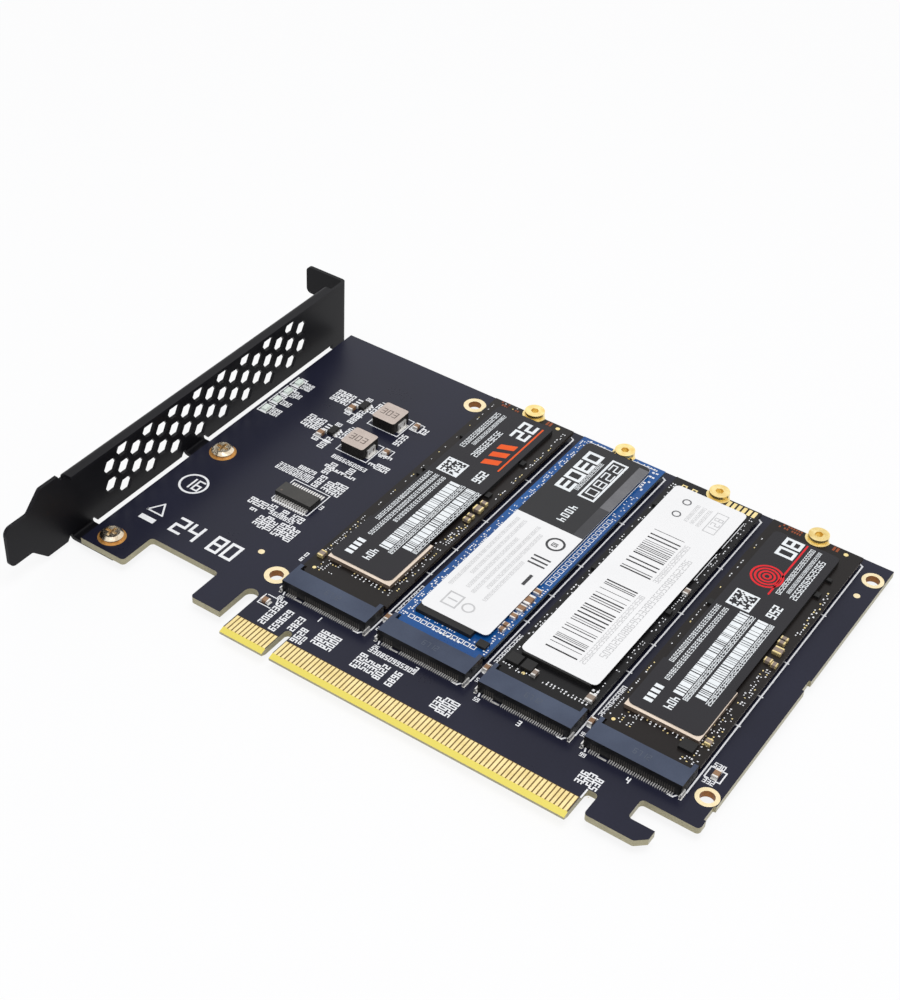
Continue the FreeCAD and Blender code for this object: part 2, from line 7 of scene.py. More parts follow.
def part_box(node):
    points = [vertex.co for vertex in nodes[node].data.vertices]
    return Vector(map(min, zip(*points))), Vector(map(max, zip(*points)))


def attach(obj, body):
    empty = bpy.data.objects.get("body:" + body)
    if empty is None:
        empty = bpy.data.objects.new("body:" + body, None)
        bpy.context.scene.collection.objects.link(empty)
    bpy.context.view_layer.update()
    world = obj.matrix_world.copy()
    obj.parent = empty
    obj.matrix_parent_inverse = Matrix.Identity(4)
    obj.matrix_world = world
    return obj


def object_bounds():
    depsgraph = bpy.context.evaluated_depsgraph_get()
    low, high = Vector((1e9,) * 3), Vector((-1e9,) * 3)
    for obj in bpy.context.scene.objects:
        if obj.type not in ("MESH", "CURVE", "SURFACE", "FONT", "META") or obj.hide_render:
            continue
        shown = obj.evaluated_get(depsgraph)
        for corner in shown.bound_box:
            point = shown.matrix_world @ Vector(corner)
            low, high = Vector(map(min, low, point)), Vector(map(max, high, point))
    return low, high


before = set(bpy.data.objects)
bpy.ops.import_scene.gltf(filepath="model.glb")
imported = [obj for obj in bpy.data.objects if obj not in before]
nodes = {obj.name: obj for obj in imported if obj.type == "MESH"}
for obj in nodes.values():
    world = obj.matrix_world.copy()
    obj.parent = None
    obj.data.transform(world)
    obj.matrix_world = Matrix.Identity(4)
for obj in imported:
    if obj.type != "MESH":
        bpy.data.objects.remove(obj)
cadLow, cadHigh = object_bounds()
mm = 0.001
boardLow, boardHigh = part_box("adapter_board")
connectorInset = 43.4  # from the board's left edge to the first contact
# Card datum: first contact of the edge connector, lower edge, component side
datum = Vector((boardLow.x + connectorInset * mm, boardLow.y, boardHigh.z))


def at(x, y, z=0.0):
    return datum + Vector((x, y, z)) * mm


def cardBox(name):
    low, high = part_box(name)
    return (low - datum) / mm, (high - datum) / mm


# Boxes of the separate solids in one node, in card millimetres. Corners of the mesh that
# lie within a micrometre of each other count as one.
micrometres = 1e6


def solidBoxes(name):
    mesh = nodes[name].data
    owner = list(range(len(mesh.vertices)))

    def root(i):
        while owner[i] != i:
            owner[i] = owner[owner[i]]
            i = owner[i]
        return i

    seen = {}
    for vertex in mesh.vertices:
        key = tuple(round(c * micrometres) for c in vertex.co)
        owner[root(vertex.index)] = root(seen.setdefault(key, vertex.index))
    for polygon in mesh.polygons:
        first = polygon.vertices[0]
        for other in polygon.vertices[1:]:
            owner[root(other)] = root(first)
    groups = {}
    for vertex in mesh.vertices:
        groups.setdefault(root(vertex.index), []).append((vertex.co - datum) / mm)
    boxes = []
    for spots in groups.values():
        low = Vector([min(p[i] for p in spots) for i in range(3)])
        high = Vector([max(p[i] for p in spots) for i in range(3)])
        boxes.append((low, high))
    return sorted(boxes, key=lambda pair: (round(pair[0].x, 3), round(pair[0].y, 3)))


def newGroup(name, inputs, outputs):
    group = bpy.data.node_groups.new(name, "ShaderNodeTree")
    for label, kind, value in inputs:
        socket = group.interface.new_socket(label, in_out="INPUT", socket_type=kind)
        socket.default_value = value
    for label, kind in outputs:
        group.interface.new_socket(label, in_out="OUTPUT", socket_type=kind)
    return group, group.nodes.new("NodeGroupInput"), group.nodes.new("NodeGroupOutput")


def node(tree, kind, values=(), links=(), **props):
    made = tree.nodes.new(kind)
    for key, value in props.items():
        setattr(made, key, value)
    for key, value in dict(values).items():
        made.inputs[key].default_value = value
    for key, source in dict(links).items():
        tree.links.new(source, made.inputs[key])
    return made


# Patchy tone plus fine grain, used by nearly every finish
def makeMottle():
    colour, number = "NodeSocketColor", "NodeSocketFloat"
    group, given, out = newGroup("mottle", [
        ("Light", colour, (0.5, 0.5, 0.5, 1)), ("Dark", colour, (0.4, 0.4, 0.4, 1)),
        ("Patch Scale", number, 60.0), ("Grain Scale", number, 2500.0),
        ("Grain Share", number, 0.3), ("Smooth", number, 0.3), ("Rough", number, 0.5),
    ], [("Color", colour), ("Roughness", number), ("Height", number)])
    place = node(group, "ShaderNodeTexCoord")
    patch = node(group, "ShaderNodeTexNoise", {"Detail": 4.0},
                 {"Vector": place.outputs["Object"], "Scale": given.outputs["Patch Scale"]})
    grain = node(group, "ShaderNodeTexNoise", {"Detail": 2.0},
                 {"Vector": place.outputs["Object"], "Scale": given.outputs["Grain Scale"]})
    mask = node(group, "ShaderNodeMix", {}, {
        "Factor": given.outputs["Grain Share"], "A": patch.outputs["Fac"],
        "B": grain.outputs["Fac"]})
    spread = node(group, "ShaderNodeMapRange", {"From Min": 0.3, "From Max": 0.7},
                  {"Value": mask.outputs["Result"]})
    tint = node(group, "ShaderNodeMix", data_type="RGBA")
    for index, source in ((0, spread.outputs["Result"]), (6, given.outputs["Dark"]),
                          (7, given.outputs["Light"])):
        group.links.new(source, tint.inputs[index])
    rough = node(group, "ShaderNodeMapRange", {}, {
        "Value": spread.outputs["Result"], "To Min": given.outputs["Smooth"],
        "To Max": given.outputs["Rough"]})
    group.links.new(tint.outputs[2], out.inputs["Color"])
    group.links.new(rough.outputs["Result"], out.inputs["Roughness"])
    group.links.new(grain.outputs["Fac"], out.inputs["Height"])
    return group


# Flat faces and slanted faces told apart by how far they face up or down
facingPlan = {"flat": 0.985, "slant": 0.2}


def makeFacing():
    group, given, out = newGroup("facing", [], [
        ("Flat", "NodeSocketFloat"), ("Slant", "NodeSocketFloat"),
    ])
    geometry = node(group, "ShaderNodeNewGeometry")
    parts = node(group, "ShaderNodeSeparateXYZ", {}, {"Vector": geometry.outputs["True Normal"]})
    upright = node(group, "ShaderNodeMath", {}, {0: parts.outputs["Z"]}, operation="ABSOLUTE")
    flat = node(group, "ShaderNodeMath", {1: facingPlan["flat"]},
                {0: upright.outputs[0]}, operation="GREATER_THAN")
    slope = node(group, "ShaderNodeMath", {1: facingPlan["slant"]},
                 {0: upright.outputs[0]}, operation="GREATER_THAN")
    slant = node(group, "ShaderNodeMath", {}, {0: slope.outputs[0], 1: flat.outputs[0]},
                 operation="SUBTRACT")
    group.links.new(flat.outputs[0], out.inputs["Flat"])
    group.links.new(slant.outputs[0], out.inputs["Slant"])
    return group


mottleGroup = makeMottle()
facingGroup = makeFacing()


def startMaterial(name):
    material = bpy.data.materials.new(name)
    material.use_nodes = True
    tree = material.node_tree
    return material, tree, tree.nodes["Principled BSDF"]


def addGroup(tree, group, values=()):
    made = tree.nodes.new("ShaderNodeGroup")
    made.node_tree = group
    for key, value in dict(values).items():
        made.inputs[key].default_value = value
    return made


def addMottle(tree, light, dark, patch=60, grain=2500, share=0.3, smooth=0.35, rough=0.5):
    return addGroup(tree, mottleGroup, {
        "Light": (*light, 1), "Dark": (*dark, 1), "Patch Scale": patch,
        "Grain Scale": grain, "Grain Share": share, "Smooth": smooth, "Rough": rough,
    })


grainDepth = 0.00003


def addBump(tree, shader, height, strength):
    bump = node(tree, "ShaderNodeBump", {"Strength": strength, "Distance": grainDepth},
                {"Height": height})
    tree.links.new(bump.outputs["Normal"], shader.inputs["Normal"])


def twoTone(tree, mask, first, second):
    mix = tree.nodes.new("ShaderNodeMix")
    mix.data_type = "RGBA"
    tree.links.new(mask, mix.inputs[0])
    for index, source in ((6, first), (7, second)):
        if isinstance(source, tuple):
            mix.inputs[index].default_value = (*source, 1)
        else:
            tree.links.new(source, mix.inputs[index])
    return mix.outputs[2]


# Plain finish; sides, where given, is the tone of the faces that don't lie flat. On the socket
# and the clock buffer the lighter flat faces are a painted sheen, on the metal lids the darker
# sides are painted shade; on the coils the two tones are the parts' own
def surface(name, light, dark, metallic=0.0, bump=0.15, specular=0.3, sides=None, **tone):
    material, tree, shader = startMaterial(name)
    made = addMottle(tree, light, dark, **tone)
    colour = made.outputs["Color"]
    if sides:
        facing = addGroup(tree, facingGroup)
        colour = twoTone(tree, facing.outputs["Flat"], sides, colour)
    tree.links.new(colour, shader.inputs["Base Color"])
    tree.links.new(made.outputs["Roughness"], shader.inputs["Roughness"])
    shader.inputs["Metallic"].default_value = metallic
    shader.inputs["Specular IOR Level"].default_value = specular
    addBump(tree, shader, made.outputs["Height"], bump)
    return material


# Lacquered glass-fibre sheet: lacquer on the faces, bare fibre on cut edges
fibreShade = 0.72


def lacquerSheet(name, light, dark, fibre, bevel=None, specular=0.3):
    material, tree, shader = startMaterial(name)
    made = addMottle(tree, light, dark, patch=35, grain=1800, share=0.25,
                     smooth=0.26, rough=0.36)
    facing = addGroup(tree, facingGroup)
    fibreTone = addMottle(tree, fibre, tuple(c * fibreShade for c in fibre), patch=400,
                          grain=4000, share=0.6)
    colour = twoTone(tree, facing.outputs["Flat"], fibreTone.outputs["Color"],
                     made.outputs["Color"])
    if bevel:
        colour = twoTone(tree, facing.outputs["Slant"], colour, bevel)
    tree.links.new(colour, shader.inputs["Base Color"])
    tree.links.new(made.outputs["Roughness"], shader.inputs["Roughness"])
    shader.inputs["Specular IOR Level"].default_value = specular
    addBump(tree, shader, made.outputs["Height"], 0.05)
    return material


boardLacquer = lacquerSheet(
    "board_lacquer", (0.0142, 0.0152, 0.033), (0.01, 0.0106, 0.0228), (0.5, 0.46, 0.3),
    bevel=(0.82, 0.7, 0.14), specular=0.2)
brownLacquer = lacquerSheet(
    "module_lacquer_brown", (0.013, 0.01, 0.0095), (0.008, 0.0062, 0.0058), (0.05, 0.035, 0.025),
    specular=0.2)
blueLacquer = lacquerSheet(
    "module_lacquer_blue", (0.006, 0.1, 0.34), (0.003, 0.05, 0.2), (0.1, 0.13, 0.15))
blackLacquer = lacquerSheet(
    "module_lacquer_black", (0.008, 0.0075, 0.0085), (0.0045, 0.0042, 0.0048),
    (0.03, 0.025, 0.022), specular=0.2)
gold = surface(
    "gold_plate", (0.94, 0.8, 0.42), (0.84, 0.66, 0.28), metallic=0.55, smooth=0.3, rough=0.48,
    patch=300, bump=0.1)
paleGold = surface(
    "gold_land", (0.95, 0.83, 0.56), (0.88, 0.72, 0.42), metallic=0.4, patch=500, bump=0.1)
warmLand = surface(
    "screw_land", (0.72, 0.38, 0.12), (0.5, 0.24, 0.06), metallic=0.5, smooth=0.3, rough=0.45,
    patch=400, bump=0.1)
brass = surface(
    "turned_brass", (0.97, 0.82, 0.42), (0.72, 0.5, 0.15), metallic=0.9, smooth=0.18, rough=0.34,
    patch=600)
copperWall = surface(
    "hole_plating", (0.4, 0.17, 0.05), (0.2, 0.08, 0.025), metallic=0.6, smooth=0.3, patch=700)
tin = surface(
    "tinned_metal", (0.9, 0.89, 0.87), (0.68, 0.67, 0.65), metallic=0.6, smooth=0.25, rough=0.45,
    patch=900)
dullTin = surface(
    "dull_contact", (0.13, 0.12, 0.11), (0.06, 0.055, 0.05), metallic=0.5, smooth=0.35,
    rough=0.55, patch=1200)
screwMetal = surface(
    "screw_nickel", (0.98, 0.9, 0.74), (0.6, 0.46, 0.3), metallic=1.0, smooth=0.14, rough=0.32,
    patch=700)
bracketPaint = surface(
    "bracket_enamel", (0.0088, 0.0086, 0.011), (0.005, 0.0048, 0.0062), specular=0.13,
    smooth=0.36, rough=0.48, patch=50, grain=3500, bump=0.3)
# Black socket plastic: the slate tone of the upward faces is a painted sheen; the faces that
# don't lie flat keep the plain black
socketPlasticTopSheen = surface(
    "socket_plastic", (0.062, 0.08, 0.128), (0.024, 0.034, 0.066), sides=(0.004, 0.004, 0.005),
    smooth=0.34, patch=70, share=0.12)
chipPlastic = surface(
    "chip_plastic", (0.013, 0.0125, 0.0125), (0.007, 0.0068, 0.007), smooth=0.5, rough=0.66,
    patch=200, grain=5000, bump=0.3)
# Clock buffer: its top is lighter than the other black chips as a painted sheen; the sides keep
# the plain black
clockPlasticTopSheen = surface(
    "clock_plastic_painted_sheen", (0.066, 0.064, 0.06), (0.042, 0.041, 0.039), sides=(0.006, 0.006, 0.006),
    smooth=0.5, rough=0.66, patch=350, grain=5000, bump=0.3)
# Metal lid of the controllers: the sides carry a darker copy of the lid colour as painted shade
lidMetalShadedSides = surface(
    "lid_nickel", (0.84, 0.72, 0.61), (0.7, 0.58, 0.47), metallic=0.3, sides=(0.24, 0.18, 0.14),
    patch=250)
capCeramic = surface("capacitor_ceramic", (0.36, 0.21, 0.12), (0.22, 0.12, 0.065), patch=900)
greyCeramic = surface("capacitor_grey", (0.34, 0.27, 0.22), (0.22, 0.17, 0.14), patch=900)
coilCore = surface(
    "coil_core", (0.68, 0.595, 0.54), (0.44, 0.36, 0.32), sides=(0.012, 0.01, 0.009), smooth=0.55,
    rough=0.72, patch=400, grain=6000, share=0.7, bump=0.5)
lampLens = surface(
    "lamp_lens", (0.9, 0.96, 0.92), (0.76, 0.88, 0.8), smooth=0.15, rough=0.3, patch=900)
darkPaper = surface(
    "label_dark", (0.0125, 0.0115, 0.0155), (0.0085, 0.0078, 0.0105), smooth=0.42, rough=0.56,
    patch=80, bump=0.2)
whitePaper = surface(
    "label_white", (0.88, 0.88, 0.89), (0.84, 0.84, 0.85), smooth=0.5, rough=0.66, patch=70,
    bump=0.3)


def ink(name, light, dark, patch=400, rough=0.6):
    return surface(name, light, dark, smooth=0.45, rough=rough, patch=patch)


greyInk = ink("ink_grey", (0.17, 0.17, 0.18), (0.12, 0.12, 0.13), 300)
midInk = ink("ink_mid_grey", (0.055, 0.055, 0.06), (0.04, 0.04, 0.044), 300)
silk = surface(
    "silk_white", (0.92, 0.93, 0.95), (0.8, 0.81, 0.84), smooth=0.5, rough=0.7, patch=900,
    share=0.5)
whiteInk = ink("ink_white", (0.9, 0.93, 0.95), (0.76, 0.8, 0.83), 700)
orangeInk = ink("ink_orange", (0.86, 0.115, 0.012), (0.74, 0.08, 0.01), rough=0.58)
redInk = ink("ink_red", (0.78, 0.012, 0.022), (0.62, 0.01, 0.018), rough=0.58)
blackInk = ink("ink_black", (0.022, 0.022, 0.024), (0.014, 0.014, 0.016))
paleInk = ink("ink_pale", (0.6, 0.6, 0.61), (0.5, 0.5, 0.51))
slateInk = ink("ink_slate", (0.085, 0.1, 0.135), (0.06, 0.075, 0.105))
# Brown ink of the coil numbers, also used as the painted shade of the recesses in the coil
# terminals
coilInkAndRecessShade = surface(
    "ink_coil_and_recess_shade", (0.16, 0.125, 0.11), (0.11, 0.09, 0.08), smooth=0.5, rough=0.7, patch=600)
bareCopper = surface(
    "bare_copper", (0.34, 0.085, 0.03), (0.2, 0.05, 0.018), metallic=0.5, patch=900)
fibreGap = surface(
    "contact_gap", (0.22, 0.135, 0.035), (0.13, 0.075, 0.02), smooth=0.5, rough=0.7, patch=900)
print("materials ready")


def dress(name, material):
    thing = nodes[name]
    thing.data.materials.clear()
    thing.data.materials.append(material)


for material, names in (
    (boardLacquer, "adapter_board"), (bracketPaint, "bracket"), (screwMetal, "bracket_screws"),
    (gold, "edge_contacts_component_side edge_contacts_solder_side"),
    (brass, "module_posts module_retaining_screws"), (lampLens, "indicator_lamps"),
    (chipPlastic, "regulators module_power_chips_2 module_power_chips_3 module_power_chips_4"),
    (tin, "regulator_leads clock_chip_leads coil_terminals_1 coil_terminals_2"),
    (capCeramic, "input_capacitors output_capacitors bypass_capacitors"),
    (clockPlasticTopSheen, "clock_chip"), (coilCore, "power_coil_1 power_coil_2"),
):
    for name in names.split():
        dress(name, material)
moduleCount = 4
lidModules = (1, 4)
moduleLacquers = (brownLacquer, blueLacquer, blackLacquer, brownLacquer)
moduleLabels = (darkPaper, whitePaper, whitePaper, darkPaper)
moduleCaps = (greyCeramic, capCeramic, greyCeramic, greyCeramic)
for number in range(1, moduleCount + 1):
    dress("socket_housing_%d" % number, socketPlasticTopSheen)
    dress("socket_contacts_%d" % number, tin)
    dress("socket_holddowns_%d" % number, tin)
    dress("module_board_%d" % number, moduleLacquers[number - 1])
    dress("module_memory_%d" % number, chipPlastic)
    dress("module_controller_%d" % number, lidMetalShadedSides if number in lidModules else chipPlastic)
    dress("module_label_%d" % number, moduleLabels[number - 1])
    dress("module_capacitors_%d" % number, moduleCaps[number - 1])


# A tray gathers the faces of one piece before they become a mesh
def newTray():
    return {"verts": [], "faces": [], "marks": []}


def face(tray, points, mark=0):
    first = len(tray["verts"])
    tray["verts"].extend(points)
    tray["faces"].append(tuple(range(first, first + len(points))))
    tray["marks"].append(mark)


def bar(tray, x0, x1, y0, y1, z, mark=0):
    face(tray, [at(x0, y0, z), at(x1, y0, z), at(x1, y1, z), at(x0, y1, z)], mark)


overlapStep = 0.002  # lifts one of two printed strokes where they cross


def stroke(tray, points, width, z, mark=0):
    for index, ((ax, ay), (bx, by)) in enumerate(zip(points, points[1:])):
        level = z + index % 2 * overlapStep
        long = math.hypot(bx - ax, by - ay)
        ux, uy = (bx - ax) / long * width / 2, (by - ay) / long * width / 2
        face(tray, [
            at(ax - ux + uy, ay - uy - ux, level), at(bx + ux + uy, by + uy - ux, level),
            at(bx + ux - uy, by + uy + ux, level), at(ax - ux - uy, ay - uy + ux, level),
        ], mark)


def frameLine(tray, x0, x1, y0, y1, width, z, mark=0):
    stroke(tray, [(x0, y0), (x1, y0), (x1, y1), (x0, y1), (x0, y0)], width, z, mark)


def disc(tray, x, y, radius, z, mark=0, count=28):
    turns = [2 * math.pi * i / count for i in range(count)]
    face(tray, [at(x + radius * math.cos(a), y + radius * math.sin(a), z) for a in turns], mark)


def ringFlat(tray, x, y, inner, outer, z, mark=0, count=40, start=0, sweep=360):
    for i in range(count):
        a = math.radians(start + sweep * i / count)
        b = math.radians(start + sweep * (i + 1) / count)
        face(tray, [
            at(x + r * math.cos(t), y + r * math.sin(t), z)
            for r, t in ((inner, a), (outer, a), (outer, b), (inner, b))
        ], mark)


# Small part with its upper edges broken
def block(tray, x0, x1, y0, y1, z0, z1, mark=0, soft=0.06):
    low = [at(x0, y0, z0), at(x1, y0, z0), at(x1, y1, z0), at(x0, y1, z0)]
    mid = [at(x0, y0, z1 - soft), at(x1, y0, z1 - soft), at(x1, y1, z1 - soft),
           at(x0, y1, z1 - soft)]
    top = [at(x0 + soft, y0 + soft, z1), at(x1 - soft, y0 + soft, z1),
           at(x1 - soft, y1 - soft, z1), at(x0 + soft, y1 - soft, z1)]
    face(tray, top, mark)
    for i in range(4):
        j = (i + 1) % 4
        face(tray, [low[i], low[j], mid[j], mid[i]], mark)
        face(tray, [mid[i], mid[j], top[j], top[i]], mark)


# Ends of each stroke of a digit, and its layer
segments = {
    "top": ((0, 2), (1, 2), 0), "upRight": ((1, 2), (1, 1), 1),
    "lowRight": ((1, 1), (1, 0), 2), "foot": ((0, 0), (1, 0), 0),
    "lowLeft": ((0, 0), (0, 1), 2), "upLeft": ((0, 1), (0, 2), 1),
    "middle": ((0, 1), (1, 1), 0),
}
digitShapes = {
    "0": "top upRight lowRight foot lowLeft upLeft", "1": "upRight lowRight",
    "2": "top upRight middle lowLeft foot", "3": "top upRight middle lowRight foot",
    "4": "upLeft middle upRight lowRight", "5": "top upLeft middle lowRight foot",
    "6": "top upLeft lowLeft foot lowRight middle", "7": "top upRight lowRight",
    "8": "top upRight lowRight foot lowLeft upLeft middle",
    "9": "middle upLeft top upRight lowRight foot",
}


# Row of plain digits; x, y is the lower left corner of the first
def numbers(tray, text, x, y, height, z, turn=0, weight=0.16, mark=0, pace=0.78, wide=0.46):
    cos, sin = math.cos(math.radians(turn)), math.sin(math.radians(turn))
    for index, letter in enumerate(text):
        for key in digitShapes[letter].split():
            spots = []
            *ends, layer = segments[key]
            for px, py in ends:
                lx = index * height * pace + px * height * wide
                ly = py * height / 2
                spots.append((x + lx * cos - ly * sin, y + lx * sin + ly * cos))
            stroke(tray, spots, height * weight, z + layer * overlapStep, mark)


def randomDigits(dice, count):
    return "".join(dice.choice("0235689") for i in range(count))


# Column of digits that reads up (turn 90) or down (turn -90) between y0 and y1
def digitColumn(tray, dice, x0, x1, y0, y1, z, mark=0, turn=90, weight=0.19, pace=0.78):
    height = x1 - x0
    count = max(1, int((y1 - y0) / (height * pace)))
    text = randomDigits(dice, count)
    if turn > 0:
        numbers(tray, text, x1, y0, height, z, 90, weight, mark, pace)
    else:
        numbers(tray, text, x0, y1, height, z, -90, weight, mark, pace)


# Patch filled with rows or columns of small digits
patchPlan = {"size": 1.42, "weight": 0.215, "lane": 1.28, "pace": 0.86, "past": 0.3,
             "drops": (0, 0, 0.4)}


def digitPatch(tray, dice, x0, x1, y0, y1, z, size=patchPlan["size"], upright=True):
    lane, pace, weight = size * patchPlan["lane"], patchPlan["pace"], patchPlan["weight"]
    if upright:
        lanes = max(1, round((x1 - x0) / lane))
        step = (x1 - x0) / lanes
        for i in range(lanes):
            left, drop = x0 + i * step, dice.choice(patchPlan["drops"])
            digitColumn(tray, dice, left, left + size, y0 + drop, y1 + patchPlan["past"], z, 0,
                        90, weight, pace)
        return
    lanes = max(1, round((y1 - y0) / lane))
    step = (y1 - y0) / lanes
    for i in range(lanes):
        count = max(1, int((x1 - x0) / (size * pace)))
        numbers(tray, randomDigits(dice, count), x0, y0 + i * step, size, z, 0, weight, 0, pace)


# Small rectangles on a grid, some left out
speckPlan = {"shift": 0.1, "least": 0.6, "most": 1.15}


def specks(tray, dice, x0, x1, y0, y1, stepX, stepY, wide, tall, share, z, marks=(0,)):
    shift = speckPlan["shift"]
    for i in range(max(1, int((x1 - x0) / stepX + 0.5))):
        for j in range(max(1, int((y1 - y0) / stepY + 0.5))):
            keep, mark = dice.random() < share, dice.choice(marks)
            if keep:
                x = x0 + (i + 0.5 + dice.uniform(-shift, shift)) * stepX
                y = y0 + (j + 0.5 + dice.uniform(-shift, shift)) * stepY
                halfX, halfY = (side / 2 * dice.uniform(speckPlan["least"], speckPlan["most"])
                                for side in (wide, tall))
                bar(tray, x - halfX, x + halfX, y - halfY, y + halfY, z, mark)


# Stripes of uneven width, long across and stacked along the module
def stripes(tray, dice, x0, x1, y0, y1, z, bars, gaps, mark=0):
    y = y0
    while y < y1:
        tall = min(dice.choice(bars), y1 - y)
        bar(tray, x0, x1, y, y + tall, z, mark)
        y += tall + dice.choice(gaps)


codeShare = 0.45  # dark part of the cells inside the rim


def codeSquare(tray, dice, x0, y0, size, cells, z, mark=0):
    step = size / cells
    for i in range(cells):
        for j in range(cells):
            rim = i in (0, cells - 1) or j in (0, cells - 1)
            if dice.random() < codeShare or rim:
                bar(tray, x0 + i * step, x0 + (i + 1) * step, y0 + j * step,
                    y0 + (j + 1) * step, z, mark)


# Printed marks in card millimetres from x, y: each row is its kind, ink and numbers
def printMarks(tray, dice, x, y, z, turn, marks):
    for kind, ink, *rest in marks:
        if kind == "line":
            width, *corners = rest
            stroke(tray, [(x + u, y + v) for u, v in corners], width, z, ink)
        elif kind in ("ring", "disc", "code"):
            u, v, *more = rest
            if kind == "ring":
                *radii, sides = more
                ringFlat(tray, x + u, y + v, *radii, z, ink, sides)
            elif kind == "disc":
                disc(tray, x + u, y + v, *more, z, ink)
            else:
                codeSquare(tray, dice, x + u, y + v, *more, z, ink)
        elif kind in ("text", "random"):
            text, u, v, height, weight, *shape = rest
            if kind == "random":
                text = randomDigits(dice, text)
            numbers(tray, text, x + u, y + v, height, z, turn, weight, ink, *shape)
        else:
            u0, u1, v0, v1, *more = rest
            box = x + u0, x + u1, y + v0, y + v1
            if kind in ("bar", "raised"):
                bar(tray, *box, z + overlapStep * (kind == "raised"), ink)
            elif kind == "frame":
                frameLine(tray, *box, *more, z, ink)
            elif kind == "stripes":
                stripes(tray, dice, *box, z, *more, ink)
            elif kind == "patch":
                digitPatch(tray, dice, *box, z, *more)
            elif kind == "digits":
                weight, *pace = more
                digitColumn(tray, dice, *box, z, ink, turn, weight, *pace)


def addObject(name, data):
    thing = bpy.data.objects.new(name, data)
    bpy.context.scene.collection.objects.link(thing)
    return thing


def settle(name, tray, materials):
    mesh = bpy.data.meshes.new(name)
    mesh.from_pydata(tray["verts"], [], tray["faces"])
    for material in materials:
        mesh.materials.append(material)
    mesh.polygons.foreach_set("material_index", tray["marks"])
    mesh.update()
    piece = addObject(name, mesh)
    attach(piece, "root")


holes = {"spots": ((-1.7, 20.4), (-1.7, 97.5), (103.4, 97.5), (103.4, 20.4)),
         "bore": 1.58, "outer": 2.75, "trimX": 105.9, "levels": (0.03, -1.63), "sides": 36}
screwPads = {"spots": ((-38.3, 8.6), (-38.3, 46.3)), "outer": 3.2}
fiducials = {"spots": ((-9.1, 24.4), (102.6, 90.8)), "radius": 0.75, "level": 0.02}

# Underside: fields of small plated holes as left, right, low, high, step across, step up
underPlan = {
    "level": -1.62, "land": 2.3, "hole": 1.25, "fill": 1.1, "dot": 0.34, "share": 0.3,
    "seed": 5,
    "fields": ((2, 101, 6.6, 8.4, 0.9, 0.9), (2.5, 24.5, 16.4, 20.4, 1, 1.3),
               (27.5, 49.5, 16.4, 20.4, 1, 1.3), (52.5, 74.5, 16.4, 20.4, 1, 1.3),
               (77.5, 99.5, 16.4, 20.4, 1, 1.3), (-19, -8, 38, 50, 1.5, 1.7),
               (-30, -6, 60, 86, 2.4, 2.6)),
}


def plateLands():
    tray = newTray()
    for plan, mark in ((holes, 0), (screwPads, 2)):
        for x, y in plan["spots"]:
            outer = min(plan["outer"], holes["trimX"] - x)
            for level in holes["levels"]:
                ringFlat(tray, x, y, holes["bore"], outer, level, mark)
    # plated wall of each mounting hole
    bore, sides = holes["bore"], holes["sides"]
    top, foot = holes["levels"]
    for x, y in holes["spots"]:
        for i in range(sides):
            a, b = 2 * math.pi * i / sides, 2 * math.pi * (i + 1) / sides
            face(tray, [
                at(x + bore * math.cos(t), y + bore * math.sin(t), z)
                for t, z in ((a, top), (a, foot), (b, foot), (b, top))
            ], 1)
    for x, y in fiducials["spots"]:
        disc(tray, x, y, fiducials["radius"], fiducials["level"])
    # solder side: lands of the module posts and small plated holes
    level, dot = underPlan["level"], underPlan["dot"]
    for low, high in solidBoxes("module_posts"):
        x, y = (low.x + high.x) / 2, (low.y + high.y) / 2
        ringFlat(tray, x, y, underPlan["hole"], underPlan["land"], level)
        disc(tray, x, y, underPlan["fill"], level)
    dice = random.Random(underPlan["seed"])
    for field in underPlan["fields"]:
        specks(tray, dice, *field, dot, dot, underPlan["share"], level)
    settle("plated_lands", tray, [paleGold, copperWall, warmLand])


plateLands()
gapPlan = {"spans": ((-0.5, 10.4), (12.6, 83.5)), "low": 1.3, "high": 5.75,
           "levels": (0.008, -1.608)}
gapTray = newTray()
for x0, x1 in gapPlan["spans"]:
    for level in gapPlan["levels"]:
        bar(gapTray, x0, x1, gapPlan["low"], gapPlan["high"], level)
settle("contact_gaps", gapTray, [fibreGap])
print("lands and contact gaps ready")

